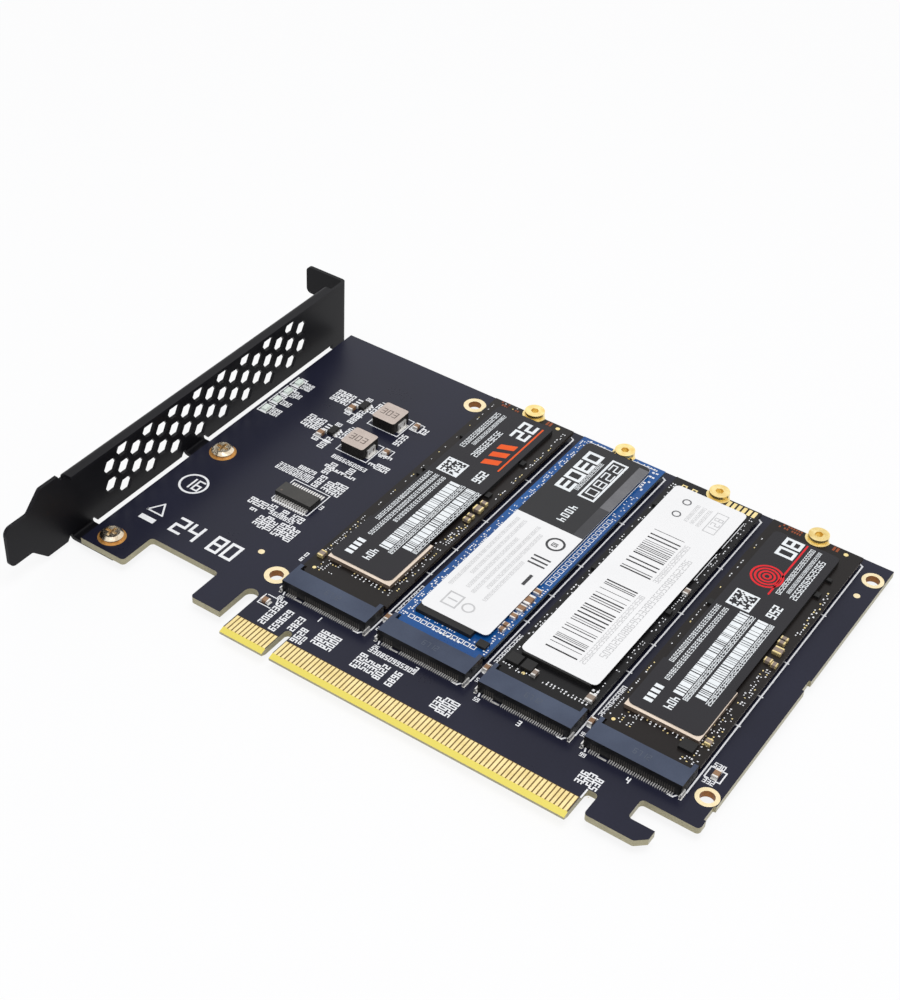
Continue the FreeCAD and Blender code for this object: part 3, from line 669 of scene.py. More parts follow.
# Printed marks of the board: patches of digits, outlines and plain numbers
silkPlan = {
    "seed": 11, "level": 0.018, "rowSize": 1.15,
    "upright": (
        (-31.3, -26.2, 78.3, 83.5), (-30.9, -26.2, 65.9, 71.2), (-22.4, -20.1, 73.4, 79.6),
        (-25, -22.6, 75.3, 76.9), (-22.4, -20.1, 61.1, 67.2), (-25.2, -22.6, 63.1, 64.6),
        (-8.7, -6.2, 73, 77.7), (-8.7, -6, 80, 81.9), (-6.1, -5.2, 80.3, 82.6),
        (-8.7, -3.2, 62.9, 65.4), (-8.6, -5.3, 67.2, 68.8), (-20.2, -19.2, 79.5, 85),
        (-20.2, -19.2, 67.2, 72), (-15.6, -13.2, 54, 60), (-11, -8.5, 56.4, 60),
        (-16.4, -7.6, 56.4, 58.3), (-14.6, -12.8, 49.2, 54.6), (-12, -7, 49.2, 53.8),
        (-17.2, -14.8, 36.6, 39.1), (-13.8, -12, 36.6, 39.1), (-11, -8.2, 36.4, 39.1),
        (-22.4, -17.6, 36, 39.3), (-20.3, -17.8, 34.2, 36), (-16.8, -12, 30.4, 35.2),
        (-11.4, -6.2, 30.4, 35.4), (4.1, 6.8, 6.5, 16), (7.2, 9.7, 6.5, 13.6),
        (10.4, 13, 8.8, 13.6), (12.9, 15, 6.5, 11.3), (16.7, 21.7, 8.6, 13.2),
        (27.2, 34.8, 8, 12.7), (36, 38.5, 7.9, 12.5), (46.9, 51.8, 7.9, 12.7),
        (80.6, 85.4, 8.8, 13.2),
    ),
    "rows": (
        (-17.2, -6.7, 60.3, 61.4), (-25.2, -15.2, 49.4, 51.8), (-20.8, -15.4, 52.4, 54.6),
        (27.8, 39.8, 13.6, 15.4), (-16, -8.4, 35.6, 36.4), (14.9, 16.6, 6.6, 9),
        (-0.9, 0.9, 27.2, 30.8),
    ),
    "coils": (79.1, 66.7), "lamps": (78.5, 74.2, 70.1, 65.8),
    "moduleFirst": 13.3, "modulePitch": 25,
}
# Round a coil and its regulator, from the coil's row
coilMarks = (
    ("line", 0, 0.26, (-18.2, -0.4), (-18.2, -3.35), (-9.5, -3.35), (-9.5, 3.9), (-11, 3.9)),
    ("line", 0, 0.26, (-18.6, 5.6), (-20, 5.6)),
    ("line", 0, 0.45, (-21.6, 1), (-20.8, 0.4)), ("line", 0, 0.5, (-24.2, 1), (-25.2, 1)),
    ("line", 0, 0.45, (-21.6, 2), (-20.8, 1.4)), ("line", 0, 0.5, (-24.2, 2), (-25.2, 2)),
    ("line", 0, 0.45, (-21.6, 3), (-20.8, 2.4)), ("line", 0, 0.5, (-24.2, 3), (-25.2, 3)),
    ("line", 0, 0.3, (-25.6, -0.6), (-25.6, -2.4), (-20.6, -2.4)),
    ("random", 0, 2, -23.9, 3.9, 1.1, 0.2), ("frame", 0, -8.9, -6.4, 0.9, 3.9, 0.22),
)
lampMarks = (
    ("line", 0, 0.34, (-42.5, 1.9), (-42.5, -1.6), (-39.9, -1.6)),
    ("line", 0, 0.34, (-41.6, 2), (-39.9, 2), (-39.9, 1)),
    ("patch", 0, -39.6, -36.9, -1.3, 1.5, silkPlan["rowSize"]),
    ("bar", 0, -42, -40.2, -1.55, -0.95), ("bar", 0, -42, -40.2, 0.95, 1.55),
)
# Clock buffer; ring, triangle and numbers at the lower left; first slot, key and the
# capacitor near the lower right hole
cornerMarks = (
    ("line", 0, 0.26, (-18.8, 39.9), (-8.6, 39.9), (-8.6, 48.5), (-18.8, 48.5), (-18.8, 47)),
    ("line", 0, 0.26, (-18.8, 39.9), (-18.8, 42)), ("text", 0, "3", -8, 43.5, 1.2, 0.2),
    ("ring", 0, -36, 33.3, 3, 3.55, 40), ("text", 0, "16", -37.9, 31.7, 3.2, 0.15),
    ("line", 0, 0.42, (-38.4, 20.4), (-36.3, 23.9), (-34.2, 20.4), (-38.4, 20.4)),
    ("bar", 0, -38.4, -34.2, 17.1, 18.6), ("text", 0, "24", -30, 18, 4.6, 0.16, 0.86, 0.55),
    ("text", 0, "80", -19.4, 18, 4.6, 0.16, 0.86, 0.55),
    ("line", 0, 0.26, (0.3, 14.4), (0.3, 11.4), (3.6, 11.4)),
    ("line", 0, 0.26, (0.8, 14.6), (3.4, 14.6), (3.9, 13.2)),
    ("line", 0, 0.35, (83.8, 5.9), (83.8, 8.2)),
    ("random", 0, 3, 100.6, 28.2, 1.1, 0.2), ("random", 0, 3, 100.6, 23.4, 1.1, 0.2),
    ("line", 0, 0.3, (101.2, 27.9), (100.3, 27.9), (100.3, 24.8), (101.2, 24.8)),
    ("line", 0, 0.3, (102.8, 27.9), (103.7, 27.9), (103.7, 24.8), (102.8, 24.8)),
)
# Line beside a module place and its length ticks, from the module's middle line
placeMarks = (
    ("line", 0, 0.36, (8.6, 16.5), (9.6, 16.5), (11.3, 19), (11.3, 100.4), (10.5, 100.9)),
    ("line", 0, 0.36, (-11.2, 20.2), (-10, 16.4)), ("random", 0, 2, -10.4, 14.9, 0.9, 0.2),
)
placeTicks = tuple(("line", 0, 0.34, (11.6, y), (10.4, y)) for y in (40.7, 50.7, 62.7, 80.7))
betweenMarks = (("frame", 0, -13, -11.6, 22.4, 25.3, 0.22),
                ("random", 0, 2, -13, 19.6, 1, 0.2))


def boardMarks():
    tray, dice, z = newTray(), random.Random(silkPlan["seed"]), silkPlan["level"]
    for patch in silkPlan["upright"]:
        digitPatch(tray, dice, *patch, z)
    for patch in silkPlan["rows"]:
        digitPatch(tray, dice, *patch, z, size=silkPlan["rowSize"], upright=False)
    for y in silkPlan["coils"]:
        printMarks(tray, dice, 0, y, z, 0, coilMarks)
    for y in silkPlan["lamps"]:
        printMarks(tray, dice, 0, y, z, 0, lampMarks)
    printMarks(tray, dice, 0, 0, z, 0, cornerMarks)
    for k in range(moduleCount):
        x = silkPlan["moduleFirst"] + silkPlan["modulePitch"] * k
        printMarks(tray, dice, x, 0, z, 0, placeMarks)
        printMarks(tray, dice, x, 0, z + 2 * overlapStep, 0, placeTicks)
        printMarks(tray, dice, x, 0, z, 0, (("text", 0, str(k + 1), 0.3, 14.3, 1.3, 0.2),))
        if k:
            printMarks(tray, dice, x, 0, z, -90, (("digits", 0, -12.9, -11.7, 26, 36.5, 0.2),))
            printMarks(tray, dice, x, 0, z, 0, betweenMarks)
    settle("board_marks", tray, [silk])


boardMarks()
print("board marks ready")

# The two end caps of a small part, along its longer side
capPast = 0.02


def capEnds(low, high, deep, out):
    if high.x - low.x > high.y - low.y:
        return [(low.x - out, low.x + deep, low.y - capPast, high.y + capPast),
                (high.x - deep, high.x + out, low.y - capPast, high.y + capPast)]
    return [(low.x - capPast, high.x + capPast, low.y - out, low.y + deep),
            (low.x - capPast, high.x + capPast, high.y - deep, high.y + out)]


# Solder lands under the leads and capacitor ends, as bright flats
boardCapacitors = ("input_capacitors", "output_capacitors", "bypass_capacitors")
landPlan = {
    "level": 0.012, "width": 0.4, "chipMiddle": 43, "lowToe": 1, "highToe": 1.4,
    "capDeep": 0.45, "capOut": 0.3,
    "grow": {"regulator_leads": 0.15, "coil_terminals_1": 0.5, "coil_terminals_2": 0.5,
             "indicator_lamps": 0.25, **{"socket_holddowns_%d" % k: 0.15 for k in range(1, 5)}},
}


def solderLands():
    tray = newTray()
    z, half = landPlan["level"], landPlan["width"] / 2
    for low, high in solidBoxes("clock_chip_leads"):
        middle = (low.x + high.x) / 2
        y0, y1 = low.y, high.y
        if low.y < landPlan["chipMiddle"]:
            y0 -= landPlan["lowToe"]
        else:
            y1 += landPlan["highToe"]
        bar(tray, middle - half, middle + half, y0, y1, z)
    for name, grow in landPlan["grow"].items():
        for low, high in solidBoxes(name):
            bar(tray, low.x - grow, high.x + grow, low.y - grow, high.y + grow, z)
    for name in boardCapacitors:
        for low, high in solidBoxes(name):
            for ends in capEnds(low, high, landPlan["capDeep"], landPlan["capOut"]):
                bar(tray, *ends, z)
    settle("solder_lands", tray, [tin])


solderLands()
capPlan = {"deepShare": 0.22, "out": 0.03, "lift": 0.02, "soft": 0.08}


def endCaps(name, sources, material):
    tray = newTray()
    for source in sources:
        for low, high in solidBoxes(source):
            deep = max(high.x - low.x, high.y - low.y) * capPlan["deepShare"]
            for ends in capEnds(low, high, deep, capPlan["out"]):
                block(tray, *ends, low.z, high.z + capPlan["lift"], 0, capPlan["soft"])
    settle(name, tray, [material])


endCaps("board_capacitor_ends", boardCapacitors, tin)
for number, material in ((1, gold), (2, tin), (3, tin), (4, gold)):
    endCaps("module_capacitor_ends_%d" % number, ("module_capacitors_%d" % number,),
            material)
print("lands and end caps ready")

# Plain number on each coil, dark slanted quads on its terminals as painted shade of a recess, and
# the clock buffer's dot. A painted recess shade is its start, in thirds of the terminal's length,
# and its upper level.
coilPlan = {"lift": 0.012, "recessShades": ((0.25, 1), (1.9, 1.45)), "recessShadeFoot": 0.5,
            "recessShadeSteps": (0, 0.5, 0.75, 0.25)}
coilText = (("text", 0, "303", 0.9, -1, 1.9, 0.12, 0.85, 0.5),)
clockDot = (("disc", 0, 1, 1, 0.28),)


def coilPrintAndRecessShade():
    tray, lift, foot = newTray(), coilPlan["lift"], coilPlan["recessShadeFoot"]
    for number in (1, 2):
        coreLow, coreHigh = cardBox("power_coil_%d" % number)
        middle = (coreLow + coreHigh) / 2
        printMarks(tray, None, coreLow.x, middle.y, coreHigh.z + lift, 0, coilText)
        for low, high in solidBoxes("coil_terminals_%d" % number):
            side = high.x + lift if low.x > middle.x else low.x - lift
            third = (high.y - low.y) / 3
            # painted shade of a recess: a dark slanted quad on the terminal's outer face
            for start, top in coilPlan["recessShades"]:
                face(tray, [
                    at(side, low.y + (start + step) * third, level)
                    for step, level in zip(coilPlan["recessShadeSteps"], (foot, foot, top, top))
                ])
    low, high = cardBox("clock_chip")
    printMarks(tray, None, low.x, low.y, high.z + lift, 0, clockDot)
    settle("coil_print_and_recess_shade", tray, [coilInkAndRecessShade])


coilPrintAndRecessShade()

# Sockets: contact lines up the front wall, a faint bar and number on the top, end blocks
socketPlan = {"lift": 0.012, "low": 0.25, "top": 1.75, "half": 0.085, "barLevel": 0.02,
              "blockOut": 10.9, "blockHalf": 0.22, "block": (16.7, 17.15, 0.02, 0.8),
              "soft": 0.1}


def socketDetail(number):
    tray, plan = newTray(), socketPlan
    low, high = cardBox("socket_housing_%d" % number)
    middle, wall = (low.x + high.x) / 2, low.y - plan["lift"]
    for pinLow, pinHigh in solidBoxes("socket_contacts_%d" % number):
        x = (pinLow.x + pinHigh.x) / 2
        left, right = x - plan["half"], x + plan["half"]
        face(tray, [at(px, wall, pz) for px, pz in (
            (left, plan["low"]), (right, plan["low"]), (right, plan["top"]),
            (left, plan["top"]))])
    bar(tray, middle - 7.1, middle - 5.3, 16.5, 16.95, plan["barLevel"], 1)
    printMarks(tray, None, middle, 0, high.z + plan["lift"], 0,
               (("text", 2, "6712", -1.2, 19.2, 1.3, 0.12),))
    for side in (-1, 1):
        x = middle + side * plan["blockOut"]
        block(tray, x - plan["blockHalf"], x + plan["blockHalf"], *plan["block"], 1,
              plan["soft"])
    settle("socket_detail_%d" % number, tray, [dullTin, tin, slateInk])


for number in range(1, moduleCount + 1):
    socketDetail(number)
print("sockets ready")

# Small pads and marks of the modules, from the middle line. Specks are left, right, low,
# high, steps, sizes and share; dots is the share of dots kept at the free end.
brownMarks = (("bar", 2, 4.1, 4.65, 98.9, 100.4), ("bar", 2, 4.95, 5.5, 98.9, 100.4),
              ("disc", 1, 7.4, 99.3, 0.55))
blueMarks = (
    *(("frame", 0, -8.6 + k * 1.55, -7.5 + k * 1.55, 25, 26, 0.2) for k in range(11)),
    *(("frame", 0, 9.1, 10.2, 51.0 + k * 1.6, 52.1 + k * 1.6, 0.16) for k in range(17)),
    *(("raised", 0, -2.4 + k * 0.9, -1.9 + k * 0.9, 24.7, 25.3) for k in range(8)),
    ("line", 0, 0.22, (-9.4, 99.6), (9, 99.6)), ("line", 0, 0.2, (8.5, 50), (8.5, 97)),
    ("line", 0, 0.2, (-9, 31), (-9, 97)),
)
blackMarks = (
    *(("bar", 1, 2.9 + k * 1.3, 3.75 + k * 1.3, 98.1, 100.3) for k in range(6)),
    ("frame", 1, -8.3, -7.3, 97.9, 98.9, 0.32), ("frame", 1, -5.7, -4.7, 97.9, 98.9, 0.32),
    ("line", 0, 0.2, (9.3, 71.5), (9.3, 82)), ("line", 0, 0.2, (9.3, 84.5), (9.3, 95)),
    ("disc", 1, -5.2, 25.4, 0.42),
)
modulePlan = {
    1: {"seed": 31, "inks": (0, 0, 0, 1), "dots": 0.35,
        "marks": (("disc", 1, -8.6, 25.4, 0.42), *brownMarks), "specks": (
        (-10.4, -8.6, 28.6, 46, 0.75, 0.62, 0.34, 0.30, 0.6),
        (-10.3, -9.5, 48, 98, 0.6, 0.8, 0.22, 0.40, 0.33),
        (-8.4, -4.2, 25, 29.2, 0.72, 0.62, 0.34, 0.28, 0.5),
        (-1, 7, 27.8, 29.2, 1, 0.72, 0.30, 0.44, 0.8),
        (7.4, 10.4, 27.4, 49, 0.72, 0.74, 0.34, 0.34, 0.5),
        (8.4, 10.6, 49, 57, 0.66, 0.66, 0.40, 0.36, 0.6),
        (9.3, 10.5, 68, 99, 0.5, 0.9, 0.24, 0.52, 0.45),
        (-9.8, -2, 98.9, 100.5, 0.8, 0.8, 0.32, 0.32, 0.3))},
    2: {"seed": 32, "inks": (0,), "dots": 0, "marks": blueMarks, "specks": (
        (-10.7, -9.2, 24.8, 99.4, 0.55, 0.62, 0.34, 0.40, 0.34),
        (8.9, 10.8, 78, 90, 0.62, 0.62, 0.40, 0.36, 0.3),
        (8.9, 10.8, 24.8, 50, 0.62, 0.72, 0.38, 0.36, 0.42),
        (-9.6, 9.6, 26.6, 27.4, 0.62, 0.62, 0.34, 0.32, 0.5),
        (-9, 9, 98.8, 100.3, 0.9, 0.7, 0.50, 0.34, 0.5),
        (8.6, 10.4, 91, 100, 0.8, 0.9, 0.62, 0.66, 0.55))},
    3: {"seed": 33, "inks": (0,), "dots": 0, "marks": blackMarks, "specks": (
        (-10.8, -9.4, 30, 98, 0.6, 0.9, 0.30, 0.42, 0.33),
        (9.4, 10.7, 30, 98, 0.6, 0.8, 0.26, 0.44, 0.42),
        (-1, 10, 25.2, 26.6, 0.85, 0.62, 0.34, 0.44, 0.66),
        (-10.6, -3.6, 24.8, 26.2, 0.7, 0.62, 0.36, 0.36, 0.5),
        (8.4, 10.2, 26.4, 30.4, 0.9, 1, 0.66, 0.70, 0.85))},
    4: {"seed": 34, "inks": (0, 0, 0, 1), "dots": 0.85,
        "marks": (("disc", 1, -9, 25.4, 0.42), *brownMarks), "specks": (
        (-10.6, -9.8, 26, 46.5, 0.6, 0.66, 0.30, 0.34, 0.6),
        (-10.4, -9.6, 50, 97, 0.6, 0.9, 0.22, 0.44, 0.36),
        (-8.6, -5, 25.2, 29, 0.72, 0.66, 0.32, 0.32, 0.5),
        (-6, 6.4, 28.2, 29.4, 1, 0.66, 0.32, 0.44, 0.85),
        (7.6, 10.6, 26, 42, 0.72, 0.74, 0.34, 0.34, 0.5),
        (8.6, 10.6, 44, 57, 0.62, 0.66, 0.34, 0.34, 0.55),
        (6.6, 10.4, 23.8, 25.8, 0.62, 0.62, 0.34, 0.32, 0.6),
        (9.4, 10.6, 68, 86, 0.6, 0.8, 0.34, 0.44, 0.5))},
}


# Shared by the modules: land round the end notch, dots at the free end, gold fingers
markPlan = {
    "lift": 0.014, "notch": (1.8, 2.95), "notchSides": 24,
    "dotX": -9, "dotStep": 0.62, "dotCount": 9, "dotSize": (0.4, 0.66),
    "dotRows": (98.9, 99.9),
    "fingers": 38, "keyFirst": 5, "keyLast": 8, "pitch": 0.5, "half": 0.17,
    "fingerFoot": 21, "fingerTop": 22.25,
}


def moduleMarks(number):
    plan, shared = modulePlan[number], markPlan
    dice = random.Random(plan["seed"])
    low, high = cardBox("module_board_%d" % number)
    x, z = (low.x + high.x) / 2, high.z + shared["lift"]
    tray = newTray()
    for left, right, *rest in plan["specks"]:
        specks(tray, dice, x + left, x + right, *rest, z, plan["inks"])
    ringFlat(tray, x, high.y, *shared["notch"], z, 1, shared["notchSides"], 180, 180)
    if plan["dots"]:
        wide, tall = shared["dotSize"]
        for k in range(shared["dotCount"]):
            left = x + shared["dotX"] + k * shared["dotStep"]
            for y in shared["dotRows"]:
                if dice.random() < plan["dots"]:
                    bar(tray, left, left + wide, y, y + tall, z, 2)
    printMarks(tray, dice, x, 0, z, 0, plan["marks"])
    # gold fingers that vanish into the socket mouth, with the key's gap
    for k in range(shared["fingers"]):
        if not shared["keyFirst"] <= k <= shared["keyLast"]:
            middle = x + (k - (shared["fingers"] - 1) / 2) * shared["pitch"]
            bar(tray, middle - shared["half"], middle + shared["half"],
                shared["fingerFoot"], shared["fingerTop"], z, 1)
    settle("module_marks_%d" % number, tray, [silk, gold, bareCopper])


for number in modulePlan:
    moduleMarks(number)

# Small black parts between a label and the edges of its module: side, low, high
smallChipPlan = {"height": 0.65, "gap": 0.15, "wide": 1.2, "margin": 0.3, "spots": {
    1: ((-1, 67, 68.6), (-1, 64.6, 65.7), (-1, 82.3, 83.4), (1, 81.8, 83.4), (1, 67.2, 69)),
    3: ((-1, 61, 62.4), (-1, 88, 89.2), (1, 58.2, 59.6)),
    4: ((-1, 66.4, 68), (1, 82.2, 83.8), (1, 65.4, 67), (1, 88.4, 89.4)),
}}


def smallChips(number):
    tray, plan = newTray(), smallChipPlan
    low, high = cardBox("module_board_%d" % number)
    paperLow, paperHigh = cardBox("module_label_%d" % number)
    for side, y0, y1 in plan["spots"][number]:
        near = paperHigh.x + plan["gap"] if side > 0 else paperLow.x - plan["gap"]
        x0, x1 = sorted((near, near + side * plan["wide"]))
        x0, x1 = max(x0, low.x + plan["margin"]), min(x1, high.x - plan["margin"])
        block(tray, x0, x1, y0, y1, high.z, high.z + plan["height"])
    settle("module_small_chips_%d" % number, tray, [chipPlastic])


for number in smallChipPlan["spots"]:
    smallChips(number)
print("module marks ready")

# Label printing of our own: bars, plain numbers, stripes and a square of cells.
labelLift = 0.012
borderPlan = {"corner": 1.2, "out": 0.42, "over": 0.06, "sides": 10}


def labelBox(number):
    low, high = cardBox("module_label_%d" % number)
    return low, high, high.z + labelLift


# Dark border that takes the label nearer to the edges of the metal lid under it
def lidBorder(tray, number, low, high):
    top = cardBox("module_controller_%d" % number)[1].y
    radius, out, over = borderPlan["corner"], borderPlan["out"], borderPlan["over"]
    level = high.z + overlapStep
    left, right, foot = low.x + radius, high.x - radius, low.y + radius
    bar(tray, left, right, low.y - out, low.y + over, level, 2)
    for x, start in ((left, 180), (right, 270)):
        ringFlat(tray, x, foot, radius - over, radius + out, level, 2, borderPlan["sides"],
                 start, 90)
    bar(tray, low.x - out, low.x + over, foot, top, level, 2)
    bar(tray, high.x - over, high.x + out, foot, top, level, 2)


def slantedBars(tray, x, y, z):
    for k in range(3):
        foot = y + k * 3.4
        face(tray, [at(x, foot, z), at(x + 3.8, foot + 1.6, z), at(x + 3.8, foot + 3.6, z),
                    at(x, foot + 2, z)], 1)


def targetRings(tray, x, y, z):
    for k in range(4):
        inner = 0.55 + k * 0.9
        ringFlat(tray, x + 1.9, y + 4.9, inner, inner + 0.5, z, 1, 32)


# Marks of labels 1 and 4; stripes end with the widths of bars and gaps
bold = ((0.28, 0.5, 0.9, 1.3), (0.14, 0.2, 0.3))
darkPlan = {
    1: {"seed": 61, "ink": orangeInk, "motif": slantedBars, "motifAt": (8.6, 45.5), "marks": (
        ("text", 0, "22", 8.6, 64.6, 3.7, 0.2, 0.98, 0.62),
        ("line", 1, 0.42, (13.6, 45.5), (13.6, 64.8)),
        ("digits", 0, 1.1, 2.25, 47, 64, 0.15), ("digits", 0, 3, 3.85, 50, 64, 0.15),
        ("digits", 0, 5.2, 6.7, 46, 58, 0.15), ("code", 0, 1.6, 37.6, 5.6, 14),
        ("text", 0, "256", 10.6, 43, 1.9, 0.2, 0.8),
        ("stripes", 0, 7, 9.6, 8, 36, *bold), ("digits", 0, 9.9, 10.9, 7, 36, 0.17),
        ("stripes", 0, 11.4, 13.8, 10.5, 36, *bold),
        ("digits", 0, 14.1, 15.1, 9.5, 36, 0.17),
        ("digits", 0, 0.9, 1.85, 14, 36, 0.17, 0.9),
        ("digits", 0, 2.7, 3.65, 9, 36, 0.17, 0.9),
        ("digits", 0, 4.5, 5.45, 16, 36, 0.17, 0.9))},
    4: {"seed": 67, "ink": redInk, "motif": targetRings, "motifAt": (3.6, 45.5), "marks": (
        ("text", 0, "80", 3.6, 64.6, 3.7, 0.2, 0.98, 0.62),
        ("line", 1, 0.42, (8.3, 45.5), (8.3, 64.8)),
        ("digits", 0, 9.4, 10.4, 46, 64.4, 0.15), ("digits", 0, 11.2, 11.95, 48, 64.4, 0.15),
        ("digits", 0, 12.6, 14, 46, 62, 0.15), ("code", 0, 2, 37.6, 5.6, 14),
        ("text", 0, "256", 11, 43, 1.9, 0.2, 0.8),
        ("stripes", 0, 5.9, 8.2, 7.5, 37, *bold), ("digits", 0, 8.5, 9.5, 6.5, 37, 0.17),
        ("stripes", 0, 10.2, 12.6, 9, 37, *bold), ("digits", 0, 12.9, 13.9, 8, 37, 0.17),
        ("digits", 0, 0.9, 1.85, 14, 36, 0.17, 0.9),
        ("digits", 0, 2.7, 3.65, 9, 36, 0.17, 0.9))},
}
darkShared = (("text", 0, "404", 6.4, 6.4, 1.6, 0.2, 0.85),
              ("bar", 0, 2, 3.9, 2.2, 3.2), ("bar", 0, 2, 3.9, 3.7, 4.7),
              ("bar", 0, 2, 3.9, 5.2, 6.2), ("bar", 0, 2, 3.9, 6.7, 7.7))


def darkLabel(number):
    plan = darkPlan[number]
    tray = newTray()
    low, high, z = labelBox(number)
    lidBorder(tray, number, low, high)
    u, v = plan["motifAt"]
    plan["motif"](tray, low.x + u, low.y + v, z)
    printMarks(tray, random.Random(plan["seed"]), low.x, low.y, z, -90,
               plan["marks"] + darkShared)
    settle("label_print_%d" % number, tray, [whiteInk, plan["ink"], darkPaper])


# Label 2: dark upper part with cut corners and a side band, light lower part
splitPlan = {"seed": 47, "split": 38.3, "rim": 1.2, "cut": 0.36, "lift": 0.008, "band": 2.6,
             "bandFoot": 50.0}
splitTop = (
    ("frame", 1, 8.4, 12.2, 51, 66.5, 0.55),
    ("text", 1, "2280", 9.2, 65.2, 2.4, 0.14, 1.45, 0.9),
    ("text", 1, "0303", 2.4, 66, 3.4, 0.24, 1.2, 0.8),
    ("digits", 1, 6.4, 7.3, 52, 64, 0.16), ("text", 1, "4004", 8.8, 46.8, 1.7, 0.2, 1),
)
splitFoot = (
    ("ring", 3, 13.2, 33.2, 1.7, 2.25, 32), ("text", 3, "10", 12.5, 34, 1.2, 0.2, 0.8),
    ("line", 3, 0.5, (11.4, 27.6), (15.2, 27.6)), ("line", 3, 0.5, (11.4, 26.3), (15.2, 26.3)),
    ("line", 3, 0.5, (11.4, 25), (15.2, 25)), ("bar", 3, 14, 14.8, 17.8, 21.6),
    ("frame", 4, 3.4, 6.8, 3, 7, 0.4), ("line", 4, 0.4, (4.1, 5), (6.1, 5)),
    ("ring", 4, 9.2, 4.8, 1.1, 1.5, 28),
    ("digits", 4, 1.4, 2.2, 8, 36, 0.12), ("digits", 4, 3.2, 4, 14, 36, 0.12),
    ("digits", 4, 5, 5.8, 10, 30, 0.12), ("digits", 4, 6.8, 7.6, 9, 36, 0.12),
    ("digits", 4, 8.6, 9.4, 12, 34, 0.12), ("digits", 4, 10.2, 11, 8, 24, 0.12),
)


def splitLabel():
    plan = splitPlan
    dice = random.Random(plan["seed"])
    tray = newTray()
    low, high, z = labelBox(2)
    x0, x1, y1 = low.x, high.x, high.y
    foot, rim, trim = low.y + plan["split"], plan["rim"], plan["cut"]
    face(tray, [at(px, py, z) for px, py in (
        (x0, foot), (x1, foot), (x1, y1 - rim), (x1 - trim, y1 - trim), (x1 - rim, y1),
        (x0 + rim, y1), (x0 + trim, y1 - trim), (x0, y1 - rim))], 0)
    top, bandFoot = z + plan["lift"], low.y + plan["bandFoot"]
    bar(tray, x1 - plan["band"], x1, bandFoot, y1 - rim, top, 2)
    bar(tray, x1 - plan["band"], x1, foot, bandFoot, top, 3)
    printMarks(tray, dice, x0, low.y, top, -90, splitTop)
    printMarks(tray, dice, x0, low.y, z, -90, splitFoot)
    settle("label_print_2", tray, [blackInk, whiteInk, greyInk, midInk, paleInk])


# Label 3: white, with two striped bars, rings, a box and rows of digits
thin = ((0.16, 0.24, 0.4), (0.3, 0.5, 0.9, 1.5))
whiteSeed = 53
whiteMarks = (
    ("stripes", 0, 3.6, 11.2, 34.5, 50, *thin), ("digits", 1, 11.9, 13.1, 34.5, 50, 0.12),
    ("stripes", 0, 3.6, 11.2, 4, 29.5, *thin), ("digits", 1, 11.9, 13.1, 4, 29.5, 0.12),
    ("digits", 1, 14.2, 15.8, 8, 46, 0.11), ("ring", 2, 5, 57.5, 0.75, 1.1, 28),
    ("ring", 2, 5, 62.5, 0.75, 1.1, 28), ("frame", 1, 12.4, 15.2, 56, 63.5, 0.22),
    ("text", 1, "128", 14.8, 57, 1.9, 0.11, 1), ("digits", 1, 7.4, 8.2, 56.5, 63.5, 0.11),
    ("digits", 1, 8.9, 9.7, 56.5, 63.5, 0.11), ("digits", 1, 10.4, 11.2, 56.5, 63.5, 0.11),
)


def whiteLabel():
    tray = newTray()
    low, high, z = labelBox(3)
    printMarks(tray, random.Random(whiteSeed), low.x, low.y, z, 90, whiteMarks)
    settle("label_print_3", tray, [blackInk, paleInk, greyInk])


darkLabel(1)
splitLabel()
whiteLabel()
darkLabel(4)
print("labels ready")

camera = {
    "place": (0.13205, -0.26282, 0.26250), "aim": (-0.03706, 0.00510, 0.0),
    "roll": 3.234, "lens": 65.04, "near": 0.01,
}
cameraData = bpy.data.cameras.new("camera")
cameraData.lens = camera["lens"]
cameraData.clip_start = camera["near"]
cameraObject = addObject("camera", cameraData)
look = Vector(camera["aim"]) - Vector(camera["place"])
turned = look.to_track_quat("-Z", "Y").to_matrix().to_4x4()
cameraObject.matrix_world = (
    Matrix.Translation(camera["place"]) @ turned
    @ Matrix.Rotation(math.radians(camera["roll"]), 4, "Z")
)
bpy.context.scene.camera = cameraObject


# Rays that are to meet plain white: the camera's, and those off metal or through glass
def plainRays(tree):
    path = node(tree, "ShaderNodeLightPath")
    mirrored = node(tree, "ShaderNodeMath", {}, {
        0: path.outputs["Is Camera Ray"], 1: path.outputs["Is Glossy Ray"]},
        operation="MAXIMUM")
    passed = node(tree, "ShaderNodeMath", {}, {
        0: mirrored.outputs[0], 1: path.outputs["Is Transmission Ray"]}, operation="MAXIMUM")
    return passed.outputs[0]


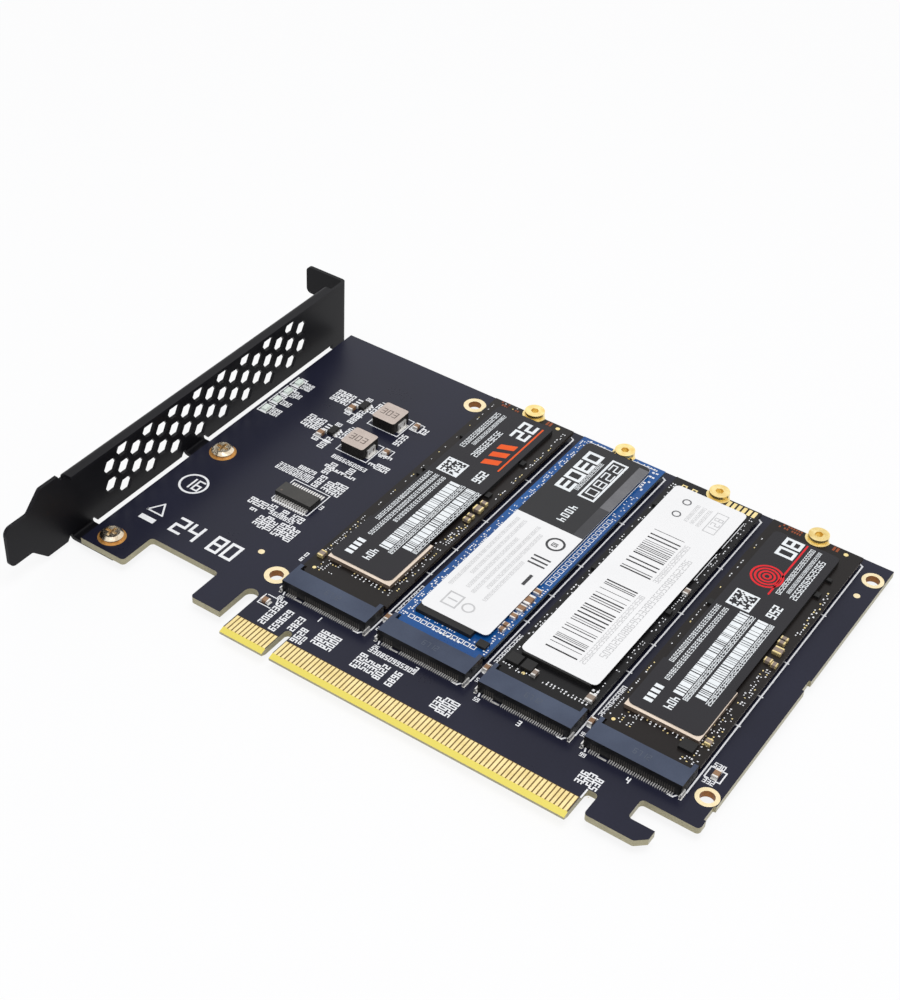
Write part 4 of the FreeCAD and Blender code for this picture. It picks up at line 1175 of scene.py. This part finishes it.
# White floor: the camera sees it mostly as plain white, with a soft trace of the shadow
stagePlan = {"half": 8.0, "gap": 0.00005, "shadowShare": 0.12, "world": 0.54,
             "light": (0.86, 0.86, 0.90), "dark": (0.84, 0.84, 0.88), "rough": 0.7}
stageMaterial, tree, shader = startMaterial("stage_white")
grain = addMottle(tree, stagePlan["light"], stagePlan["dark"])
tree.links.new(grain.outputs["Color"], shader.inputs["Base Color"])
shader.inputs["Roughness"].default_value = stagePlan["rough"]
share = node(tree, "ShaderNodeMath", {1: 1 - stagePlan["shadowShare"]},
             {0: plainRays(tree)}, operation="MULTIPLY")
glow = node(tree, "ShaderNodeEmission", {"Color": (1, 1, 1, 1), "Strength": 1.0})
blend = node(tree, "ShaderNodeMixShader", {}, {
    0: share.outputs[0], 1: shader.outputs[0], 2: glow.outputs[0]})
tree.links.new(blend.outputs[0], tree.nodes["Material Output"].inputs["Surface"])
floorMesh = bpy.data.meshes.new("floor")
side, low = stagePlan["half"], cadLow.z - stagePlan["gap"]
floorMesh.from_pydata([
    (-side, -side, low), (side, -side, low), (side, side, low), (-side, side, low),
], [], [(0, 1, 2, 3)])
floorMesh.materials.append(stageMaterial)
addObject("floor", floorMesh)

world = bpy.context.scene.world or bpy.data.worlds.new("world")
bpy.context.scene.world = world
world.use_nodes = True
sky = world.node_tree
back = sky.nodes["Background"]
back.inputs["Color"].default_value = (1, 1, 1, 1)
level = node(sky, "ShaderNodeMapRange", {"To Min": stagePlan["world"], "To Max": 1.0},
             {"Value": plainRays(sky)})
sky.links.new(level.outputs["Result"], back.inputs["Strength"])


lampPlan = {
    "top": {"place": (0.12, -0.10, 0.85), "aim": (0, 0, 0), "size": (0.5, 0.5), "power": 4.3},
    "sheen": {"place": (-0.62, 0.86, 0.70), "aim": (-0.06, 0.02, 0), "size": (0.6, 0.5),
              "power": 0.3},
}


def softLamp(name, place, aim, size, power):
    data = bpy.data.lights.new(name, "AREA")
    data.shape = "RECTANGLE"
    data.size, data.size_y = size
    data.energy = power
    lamp = addObject(name, data)
    lamp.location = place
    lamp.rotation_euler = (Vector(aim) - Vector(place)).to_track_quat("-Z", "Y").to_euler()


for name, plan in lampPlan.items():
    softLamp(name, **plan)
bpy.context.scene.view_settings.view_transform = "Standard"
